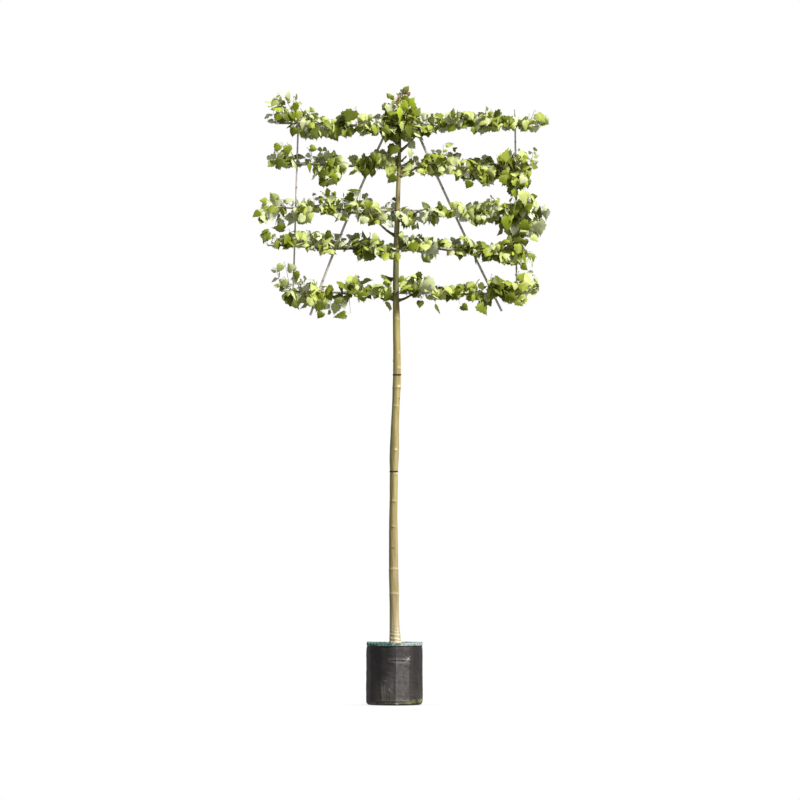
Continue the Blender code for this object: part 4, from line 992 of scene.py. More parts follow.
behind = CANE_FRONT + 2 * CANE_RADIUS + GAP
SHORT_AT_LEFT = {5: 0.092}    # metres by which a cane's left end was cut short
for tier in BOUGHS:
    foot = CANE_LEFT + SHORT_AT_LEFT.get(tier, 0.0)
    path = [cane_point(tier, lerp(foot, CANE_RIGHT, i / 24)) for i in range(25)]
    build_cane(f"cane_of_tier_{tier}", path, CANE_RADIUS, tier, f"level_cane_{tier}")
for n, (side, (top, foot)) in enumerate(UPRIGHTS.items()):
    path = [(lerp(top[0], foot[0], t), behind + UPRIGHT_RADIUS, lerp(top[1], foot[1], t))
            for t in (0, 0.5, 1)]
    build_cane(f"cane_upright_{side}", path, UPRIGHT_RADIUS, 20 + n, f"upright_cane_{side}")
for n, (side, (top, foot, bow)) in enumerate(BRACES.items()):
    path = [(lerp(top[0], foot[0], t) + bow * 4 * t * (1 - t), behind + BRACE_RADIUS,
             lerp(top[1], foot[1], t)) for t in np.linspace(0, 1, 12)]
    build_cane(f"cane_brace_{side}", path, BRACE_RADIUS, 30 + n, f"brace_cane_{side}")

# %% [markdown]
# ## Ties
# Annealed steel wire lashes each cane to the stem: soft, dull and rusting in spots of about 6 mm,
# two strands twisted together. Two bands of brown-black rubber strap sit lower down, each with a
# small buckle bead. Old rubber chalks in patches, about one every 17 mm.

# %% Rusted wire and rubber strap
wire = blotched(new_material("annealed steel wire, rusting", "#4b3426", 0.62, metallic=0.35),
                160.0, 4.0, ((0.35, "#2b2420"), (0.52, "#4b3426"), (0.70, "#7a4c2c")))
rubber = blotched(new_material("brown-black rubber tree strap", "#27241f", 0.68, ior=1.52),
                  60.0, 5.0, ((0.40, "#1a1206"), (0.62, "#33260f"), (0.80, "#5a4a2e")))

# %% Five twisted wire ties and two straps
STRAND, TAIL = 0.00085, 0.0012        # radii of one strand and of the twisted tail, in metres
TURNS, TIE_STEPS, STRAP_SIDES = 9, 120, 64
for tier, z in enumerate(TIER_HEIGHTS, 1):
    centre, r = stem_centre(z), stem_radius(z)
    on_cane, room = cane_point(tier, centre.x).z, TIER_TIE_WIRE + GAP + 0.0012
    front, back = centre.y - r - room, CANE_FRONT + 2 * CANE_RADIUS + room
    half = (r + room) * 1.12
    tilt = (CANE_RADIUS + room + 0.003) / half
    ties = Heap()
    for strand in (0, math.pi):
        loop = []
        for i in range(TIE_STEPS + 1):
            b = math.tau * i / TIE_STEPS
            roll = strand + b * TURNS
            x, y = half * math.cos(b), lerp(front, back, 0.5 + 0.5 * math.sin(b))
            loop.append((centre.x + x * (1 + 0.022 * math.cos(roll)),
                         y + 0.0007 * math.cos(roll) * math.sin(b),
                         on_cane + x * tilt + 0.0008 * math.sin(roll)))
        ties.tube(loop, STRAND, 6, face=(0, 0, 1))
    tail = Vector((centre.x - half * 0.3, front - 0.002, on_cane - half * 0.3 * tilt))
    ties.tube([tail + Vector(by) for by in ((0, 0, 0), (-0.004, -0.003, -0.006),
                                            (-0.005, -0.006, -0.013))], TAIL, 6, face=(1, 0, 0))
    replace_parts(ties.piece(f"twisted_wire_tie_{tier}", wire, "tie_wire"), f"tier_tie_{tier}")
for name, z in zip(("lower", "upper"), STEM_TIE_HEIGHTS):
    half, r, strap = STEM_TIE_HEIGHT / 2, stem_radius(z) + 0.0011, Heap()
    profile = [(0.0, -half), (0.0013, -half * 0.9), (0.0017, -half * 0.3), (0.0013, 0.0),
               (0.0017, half * 0.3), (0.0013, half * 0.9), (0.0, half)]
    corners = []
    for out, up in profile:
        centre = stem_centre(z + up)
        for k in range(STRAP_SIDES):
            b = math.tau * k / STRAP_SIDES
            x, y, height = on_circle(r + out, b, z + up)
            corners.append((centre.x + x + bark_shift(z, b), centre.y + y,
                            height + 0.0012 * math.sin(b + 1.0)))
    strap.put(corners, ring_faces(len(profile), STRAP_SIDES, closed=True).tolist())
    x, y, lift = on_circle(r + 0.002, 0.5, 0.0006)
    bead = stem_centre(z) + Vector((x + bark_shift(z, 0.5), y, lift))
    strap.tube([bead + Vector((by, 0, 0)) for by in (-0.004, -0.003, 0.003, 0.004)],
               (0.002, 0.0042, 0.0042, 0.002), 12, face=(0, 0, 1))
    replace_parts(strap.piece(f"rubber_strap_{name}", rubber, "stem_tie"), f"stem_tie_{name}")

# %% [markdown]
# ## A lime leaf
# The leaf is a lopsided heart, as broad as it is long, with a toothed margin and a short drawn-out
# tip. It hangs from a stalk nearly half as long as itself. The upper side is waxy green, the
# underside paler and matt. Each leaf here is a thin closed sheet: its rim is shared, its two sides
# have finishes of their own, and the blade bulges a little between the rib and the margin.
# Every leaf is the same set of corners, folded, drooped, twisted and waved by its own numbers.

# %% One blade, as corners and triangles
MARGIN = (
    (0.09, -0.080), (0.22, -0.125), (0.35, -0.085), (0.45, 0.01), (0.50, 0.13), (0.495, 0.26),
    (0.44, 0.39), (0.36, 0.51), (0.26, 0.62), (0.155, 0.73), (0.055, 0.86),
)
RIB = (0.0, 0.12, 0.28, 0.46, 0.64, 0.82, 1.0)
VEIN_ENDS = (1, 4, 6, 8, 9, 10)     # the place on the margin that each side vein runs to
# The rest is in shares of the leaf's length, apart from the widths of its right and left half.
TOOTH, THICKNESS, VEIN_RISE = 0.085, 0.006, (0.052, 0.030)
HALVES = ((1, 1.04), (-1, 0.96))


def blade():
    """Corners of a flat blade one unit long, its triangles, which are undersides, and its rim."""
    toothed = []
    for i, (x, y) in enumerate(MARGIN):
        push = 1 + (TOOTH if i % 2 else -TOOTH)
        toothed.append((x * push, 0.4 + (y - 0.4) * push))
    corners, top, inner, rim = [(0.0, y, 0.0) for y in RIB], [], [1, 2, 3, 4, 5], [0, 6]
    for out, width in HALVES:
        mids = []
        for rib, end in zip(RIB, VEIN_ENDS):
            mids.append(len(corners))
            x, y = toothed[end]
            corners.append((out * x * 0.55, lerp(rib, y, 0.55), VEIN_RISE[len(mids) % 2]))
        edge = list(range(len(corners), len(corners) + len(toothed)))
        corners += [(out * x * width, y, 0.0) for x, y in toothed]
        inner, rim, edge = inner + mids, rim + edge, [0] + edge + [6]
        half = []
        for k in range(5):
            half += [(k, mids[k], mids[k + 1]), (k, mids[k + 1], k + 1)]
        half += [(5, mids[5], 6), (mids[0], edge[0], edge[1]), (mids[0], edge[1], edge[2])]
        for k in range(5):
            low, high = VEIN_ENDS[k] + 1, VEIN_ENDS[k + 1] + 1
            half += [(mids[k], edge[i], edge[i + 1]) for i in range(low, high)]
            half.append((mids[k], edge[high], mids[k + 1]))
        half.append((mids[5], edge[11], edge[12]))
        top += half if out > 0 else [tri[::-1] for tri in half]
    under_of = {}
    for i in inner:
        under_of[i] = len(corners)
        x, y, z = corners[i]
        corners.append((x, y, z - THICKNESS))
    under = [tuple(under_of.get(i, i) for i in tri[::-1]) for tri in top]
    return np.array(corners), np.array(top + under), np.repeat((0, 1), len(top)), rim


BLADE, BLADE_FACES, BLADE_SIDES, BLADE_RIM = blade()
print("a leaf has", len(BLADE), "corners and", len(BLADE_FACES), "triangles")


# %% Many leaves from one blade
def shape_leaves(rows):
    """Corners of many leaves. A row is where the blade starts, the way to its tip, the way its
    upper side looks, its length and width, and how far it folds, droops, twists and waves."""
    rows = np.array(rows)
    base, along, facing = rows[:, 0:3], rows[:, 3:6], rows[:, 6:9]
    length, width, fold, droop, twist, wave, phase = rows[:, 9:16].T[:, :, None]
    along = along / np.linalg.norm(along, axis=1)[:, None]
    normal = facing - along * np.sum(facing * along, axis=1)[:, None]
    normal /= np.linalg.norm(normal, axis=1)[:, None]
    across = np.cross(along, normal)
    x, y, z = (BLADE[None, :, c] + np.zeros((len(rows), 1)) for c in range(3))
    side = np.abs(x)
    z = z - fold * side + wave * side * np.sin(7.5 * y + phase + 2.0 * np.sign(x)) * 2
    x = x * width
    turned = twist * y
    x, z = x * np.cos(turned) - z * np.sin(turned), x * np.sin(turned) + z * np.cos(turned)
    bent = droop * np.clip(y, 0, None) + 1e-4
    flat = np.where(y > 0, np.sin(bent) / (droop + 1e-4), y)
    z = z * np.cos(bent) - np.where(y > 0, (1 - np.cos(bent)) / (droop + 1e-4), 0)
    shape = (x[:, :, None] * across[:, None] + flat[:, :, None] * along[:, None]
             + z[:, :, None] * normal[:, None])
    return base[:, None] + length[:, :, None] * shape


def leaf_piece(name, rows, materials):
    """One mesh of many leaves, with a sharp edge along each rim."""
    corners = shape_leaves(rows)
    count, size = corners.shape[:2]
    faces = (BLADE_FACES[None] + (np.arange(count) * size)[:, None, None]).reshape(-1, 3)
    ob = piece(name, corners.reshape(-1, 3), faces.tolist(), materials, "foliage",
               faces_of=np.tile(BLADE_SIDES, count))
    ends = np.zeros(len(ob.data.edges) * 2, dtype=np.int32)
    ob.data.edges.foreach_get("vertices", ends)
    on_rim = np.isin(ends.reshape(-1, 2) % size, BLADE_RIM).all(axis=1)
    ob.data.attributes.new("sharp_edge", "BOOLEAN", "EDGE").data.foreach_set("value", on_rim)
    return ob


# %% [markdown]
# ## Greens
# A crown is never one green. Old inner leaves are deep olive, leaves in the light are mid green,
# and the newest at the shoot tips are yellow-green and thinner. Colour has a place, so it is dealt
# out leaf by leaf to eight finishes, each a plain colour above and a paler one below. The finishes
# also paint light and shade: the darkest stand for leaves in shade, the palest for leaves that
# catch the sun. The upper side's wax gives a low, broad gloss; the underside is matt. A young shoot
# turns from green to brown every 60 mm or so.

# %% Eight tones of leaf, by age and by painted light and shade, upper side and underside
AGE_AND_LIGHT_TONES = {
    "shaded": ("#555f13", "#9aa44e"), "deep": ("#707b18", "#b1ba69"),
    "grown": ("#929c37", "#c4cc8d"), "light": ("#b0b86a", "#ced4ae"),
    "bright": ("#a2b22d", "#c6cd78"), "fresh": ("#b5bb86", "#cfd4b6"),
    "newest": ("#c2c7a3", "#d9dcc5"), "blush": ("#8a6350", "#b99f8b"),
}
LEAF_SHINE = 0.3              # of the gloss a smooth film of wax would have: fine hairs break it up
leaf_finishes = {age: [] for age in AGE_AND_LIGHT_TONES}
for age, colours in AGE_AND_LIGHT_TONES.items():
    for side, colour, roughness, ior in zip(("waxy upper side", "matt underside"), colours,
                                            (0.48, 0.7), (1.42, 1.38)):
        finish, _, shader = new_material(f"{side} of a {age} leaf", colour, roughness, ior=ior)
        shader.inputs["Specular IOR Level"].default_value = LEAF_SHINE
        leaf_finishes[age].append(finish)
stalk_green = new_material("pale green leaf stalk", "#c3c983", 0.5, ior=1.42)[0]
shoot_green = blotched(new_material("green young shoot", "#7d7f3a", 0.5, ior=1.42), 16.0, 2.0,
                       ((0.36, "#6b5a34"), (0.50, "#7f7f3c"), (0.66, "#9aa04a")))
print(len(leaf_finishes), "ages of leaf")

# %% [markdown]
# ## How the foliage grows
# Each half tier has a leading stem along its cane. Shoots leave it at named places, and each place
# has a rise above the cane, a hang below it and an age. Shoots that rise carry younger, smaller
# leaves; those that hang carry big old ones. Leaves stand on the shoot by turns, left and right,
# each on a stalk that lets the blade hang tip down. A leaf that would leave its place's space is
# tried again and then skipped, so the gaps between the tiers stay open.

# %% The places on each half tier
# Distance from the stem, rise above the cane and hang below it in millimetres, age, which also sets
# how light or dark the place's leaves are painted, and fullness.
SHOOTS = {
    ("left", 1): (
        (46, 114, 94, "mixed", 2.45), (120, 68, 84, "pale", 1), (195, 60, 78, "pale", 2.6),
        (269, 84, 86, "pale", 0.45), (343, 76, 94, "old", 2.6), (418, 24, 108, "pale", 2.6),
        (492, 78, 104, "pale", 1.7), (566, 90, 106, "pale", 2.55), (641, 176, 58, "young", 0.65),
        (715, 192, 16, "pale", 0.7), (790, 152, 0, "young", 0.4),
    ),
    ("right", 1): (
        (46, 108, 94, "mixed", 1.75), (124, 94, 94, "mixed", 1.65), (202, 82, 70, "pale", 0.9),
        (280, 70, 38, "mixed", 2.6), (359, 94, 44, "pale", 1.9), (437, 82, 44, "mixed", 1.15),
        (515, 82, 50, "pale", 2.6), (593, 100, 44, "mixed", 2.6), (671, 70, 38, "mixed", 2.6),
        (749, 56, 38, "pale", 2.4), (827, 76, 50, "pale", 0.9), (906, 76, 0, "pale", 1.8),
    ),
    ("left", 2): (
        (46, 100, 108, "mixed", 0.15), (119, 92, 34, "old", 2.6), (192, 72, 74, "old", 1.05),
        (265, 74, 70, "mixed", 0.4), (337, 60, 66, "pale", 0.5), (410, 76, 144, "mixed", 2.1),
        (483, 110, 154, "pale", 0.8), (556, 126, 56, "mixed", 0.15), (629, 72, 22, "mixed", 0.85),
        (702, 94, 24, "mixed", 1.75), (774, 98, 42, "mixed", 0.65),
    ),
    ("right", 2): (
        (46, 88, 88, "mixed", 0.65), (120, 94, 50, "pale", 0.45), (193, 100, 70, "mixed", 2.3),
        (267, 100, 70, "mixed", 2.15), (340, 132, 64, "pale", 0.85), (414, 44, 94, "mixed", 1.15),
        (488, 62, 102, "mixed", 2.5), (561, 50, 132, "mixed", 2), (635, 82, 94, "mixed", 0.9),
        (708, 112, 146, "mixed", 2.1), (782, 112, 152, "mixed", 1.25), (856, 112, 0, "pale", 0.15),
    ),
    ("left", 3): (
        (46, 144, 114, "pale", 0.15), (123, 30, 96, "pale", 1.55), (199, 110, 110, "pale", 1.25),
        (276, 126, 38, "pale", 1.75), (353, 100, 96, "pale", 0.85), (429, 110, 48, "mixed", 2.6),
        (506, 106, 26, "pale", 0.75), (583, 54, 110, "pale", 2.6), (659, 62, 120, "pale", 0.8),
        (736, 84, 136, "pale", 0.15), (813, 94, 132, "pale", 0.2),
    ),
    ("right", 3): (
        (46, 26, 132, "mixed", 1.3), (124, 38, 132, "pale", 0.45), (202, 44, 100, "pale", 0.9),
        (280, 50, 50, "mixed", 1.65), (359, 58, 62, "pale", 0.9), (437, 38, 82, "pale", 2.2),
        (515, 58, 100, "pale", 2.3), (593, 76, 88, "pale", 1.5), (671, 64, 164, "mixed", 0.5),
        (749, 76, 188, "mixed", 1.75), (827, 114, 182, "pale", 2.6), (906, 82, 188, "pale", 0.15),
    ),
    ("left", 4): (
        (46, 106, 96, "pale", 0.15), (125, 86, 52, "mixed", 1.2), (205, 108, 74, "old", 1.3),
        (284, 100, 2, "pale", 1.3), (363, 102, 16, "pale", 1.35), (443, 88, 58, "mixed", 2.6),
        (522, 90, 30, "pale", 2.6), (601, 100, 14, "pale", 2.35), (681, 96, 24, "mixed", 2.6),
        (760, 92, 22, "young", 0.25), (839, 88, 0, "old", 0.9),
    ),
    ("right", 4): (
        (46, 94, 20, "mixed", 1.7), (124, 94, 32, "pale", 2.6), (202, 76, 82, "pale", 0.95),
        (280, 68, 12, "mixed", 2.25), (359, 76, 44, "mixed", 1.55), (437, 82, 50, "mixed", 1.35),
        (515, 44, 64, "mixed", 1.7), (593, 32, 88, "mixed", 2.6), (671, 68, 114, "mixed", 1),
        (749, 88, 114, "mixed", 2.15), (827, 32, 126, "pale", 0.15),
    ),
    ("left", 5): (
        (46, 126, 120, "old", 0.15), (125, 56, 40, "mixed", 1.8), (203, 84, 66, "mixed", 1),
        (282, 108, 44, "mixed", 1.55), (361, 68, 154, "old", 0.25), (440, 96, 144, "mixed", 0.15),
        (518, 74, 120, "mixed", 1.25), (597, 72, 118, "pale", 1.2), (676, 162, 90, "pale", 0.3),
        (754, 148, 4, "young", 0.45),
    ),
    ("right", 5): (
        (46, 102, 0, "mixed", 1.15), (119, 108, 32, "mixed", 1.4), (192, 76, 44, "young", 1.25),
        (265, 58, 44, "mixed", 2.6), (339, 50, 50, "mixed", 2.6), (412, 58, 12, "mixed", 1.7),
        (485, 76, 56, "mixed", 0.95), (558, 88, 120, "mixed", 0.5), (631, 88, 38, "old", 1.3),
        (704, 76, 68, "old", 2.6), (777, 132, 88, "pale", 0.55), (851, 132, 0, "young", 0.95),
    ),
}
HALF_WIDTH, CROWN_DEPTH = 0.056, 0.150      # metres that a place reaches to each side
CANE_SHOWS_TO = 620           # millimetres from the stem to which leaves give way to the cane
MIXES = {
    "old": ("shaded", "shaded", "shaded", "deep", "deep", "grown", "grown", "light"),
    "mixed": ("shaded", "deep", "deep", "grown", "grown", "light", "light", "fresh"),
    "pale": ("deep", "grown", "light", "light", "fresh", "fresh", "newest"),
    "young": ("deep", "grown", "light", "fresh", "fresh", "newest", "newest"),
}
LEAF_LENGTH = {"old": (0.058, 0.100), "mixed": (0.050, 0.092), "pale": (0.046, 0.086),
               "young": (0.028, 0.056)}
STALK_SHARE = 0.40            # stalk length as a share of the blade's
LEAF_SPACING = 0.026          # metres along a shoot
CLEAR_OF_CANE = 0.62          # share of the leaves in front of a cane that give way to it
SHOOTS_PER_METRE = 30.0       # shoots for each metre of a place's rise and hang

leaves = {age: [] for age in AGE_AND_LIGHT_TONES}
shoots, stalks, leads = Heap(), Heap(), Heap()
print(sum(len(places) for places in SHOOTS.values()), "places")


# %% Leaves along a shoot
def unit(v):
    return v / (np.linalg.norm(v) + 1e-9)


def within(point, space):
    return all(low <= c <= high for c, (low, high) in zip(point, space))


TRIES = 12                    # for one leaf, before it is skipped
FIRST_LEAF = 0.010            # metres up a shoot at which its leaves begin
TURNED_OVER = 0.24            # share of the leaves that turn their underside outwards


def hang_leaf(rng, root, out, space, kind, size=1.0, cane=None):
    """A stalk from a root on a shoot, and the blade that hangs on it. out is the way it starts."""
    left, right = space[0]
    for attempt in range(TRIES):
        length = rng.uniform(*LEAF_LENGTH[kind]) * size
        loose = np.array([rng.uniform(-1, 1), rng.uniform(-1, 1), rng.uniform(-0.5, 0.5)])
        leave = unit(out + loose * (0.45 + 0.06 * attempt))
        neck = root + leave * length * STALK_SHARE * rng.uniform(0.8, 1.25)
        neck[2] -= length * 0.05
        down = rng.uniform(0.35, 1.25) if kind != "young" else rng.uniform(-0.25, 0.9)
        sway = np.array([rng.uniform(-0.5, 0.5), rng.uniform(-0.3, 0.3), -down])
        along = unit(leave * 0.7 + sway)
        tip = neck + along * length
        if not (within(tip, space) and within(neck - along * length * 0.1, space)):
            continue
        hides_cane = (cane is not None and neck[1] < CANE_FRONT and tip[2] < cane - 0.008
                      and neck[2] > cane + 0.004)
        if hides_cane and rng.random() < CLEAR_OF_CANE:
            continue
        off_middle = abs((neck + along * length * 0.5)[0] - (left + right) / 2)
        if off_middle + length * 0.42 > (right - left) / 2 + 0.012:
            continue
        front = -1.0 if neck[1] < 0.012 else 1.0
        if rng.random() < TURNED_OVER:
            front = -front
        facing = np.array([rng.uniform(-1.0, 1.1), front * rng.uniform(0.40, 1.0),
                           rng.uniform(-0.1, 1.1)])
        if np.linalg.norm(np.cross(along, unit(facing))) < 0.35:
            continue
        leaves[rng.choice(MIXES[kind])].append((
            *neck, *along, *facing, length, rng.uniform(0.80, 1.08), rng.uniform(0.05, 0.60),
            rng.uniform(-0.2, 0.95), rng.uniform(-0.6, 0.6), rng.uniform(0.0, 0.07),
            rng.uniform(0, math.tau)))
        pull = root + leave * length * 0.25 + np.array([0, 0, 0.003])
        stalks.tube(curve_through(root, pull, neck, 3), (0.0014, 0.0011, 0.0010, 0.0011), 5)
        return


def leafy_shoot(rng, line, radius, space, kind, size=1.0, cane=None):
    """A shoot and its leaves, which stand on it by turns."""
    steps = np.linalg.norm(np.diff(line, axis=0), axis=1)
    lengths = np.concatenate([[0], np.cumsum(steps)])

    def at_length(at):
        return np.array([np.interp(at, lengths, line[:, c]) for c in range(3)])

    shoots.tube(line, np.linspace(radius, radius * 0.45, len(line)), 6)
    at, turn_by = FIRST_LEAF + rng.uniform(0, 0.012), rng.choice((-1, 1))
    while at < lengths[-1]:
        root = at_length(at)
        ahead = unit(at_length(min(at + 0.01, lengths[-1])) - root + 1e-6)
        side = unit(np.cross(ahead, (0.0, -1.0, 0.25))) * turn_by
        hang_leaf(rng, root, unit(side + ahead * 0.6), space, kind, size, cane)
        turn_by, at = -turn_by, at + LEAF_SPACING * rng.uniform(0.75, 1.2)
    hang_leaf(rng, line[-1], unit(line[-1] - line[-2]), space, kind, size * 0.85, cane)


# %% Shoots of one place
SHORTEST_SHOOT, SHOOT_RADIUS = 0.022, 0.0018      # metres
SPARE_LEAF = 0.055                                # metres of a leading stem for one leaf on it
ARCH_UP, ARCH_DOWN = 0.27, 0.15                   # shares of a shoot's rise or hang


def grow_place(rng, start_on, middle, space, kind, full, size=1.0, cane=None):
    """Shoots spread over a place's rise and hang, some in front of the cane and some behind it."""
    (left, right), _, (low, high) = space
    count = max(2, round((high - low) * SHOOTS_PER_METRE * full))
    for k in range(count):
        target = lerp(low, high, (k + rng.uniform(0.25, 0.75)) / count)
        front = -1.0 if (k + rng.randrange(2)) % 2 else 1.0
        sideways = rng.uniform(-0.62, 0.62) * (right - left) / 2
        end = np.array([middle[0] + sideways, front * rng.uniform(0.018, 0.095), target])
        start = np.array(start_on(lerp(middle[0], end[0], 0.4)))
        rising = target > middle[2] + 0.03
        if np.linalg.norm(end - start) < SHORTEST_SHOOT:
            end = start + unit(end - start) * SHORTEST_SHOOT
        arch = (ARCH_UP if rising else ARCH_DOWN) * abs(end[2] - start[2])
        line = curve_through(start, lerp(start, end, 0.45) + np.array([0, front * 0.012, arch]),
                             end, 6)
        young = "young" if rising and target > middle[2] + 0.075 and kind != "old" else kind
        leafy_shoot(rng, line, SHOOT_RADIUS, space, young, size, cane)
    for _ in range(max(1, round((right - left) / SPARE_LEAF * full))):
        root = np.array(start_on(rng.uniform(left, right)))
        out = np.array([rng.uniform(-0.6, 0.6), rng.choice((-1, 1)) * 0.8, rng.uniform(-0.5, 0.5)])
        hang_leaf(rng, root, unit(out), space, kind, size, cane)


# %% [markdown]
# ## Leaves that stand clear
# Some leaves hang or stand on their own at the edge of a tier, and the eye finds them first. They
# are placed one by one: each still has its stalk, and where it hangs far out a twig that comes from
# the leading stem.

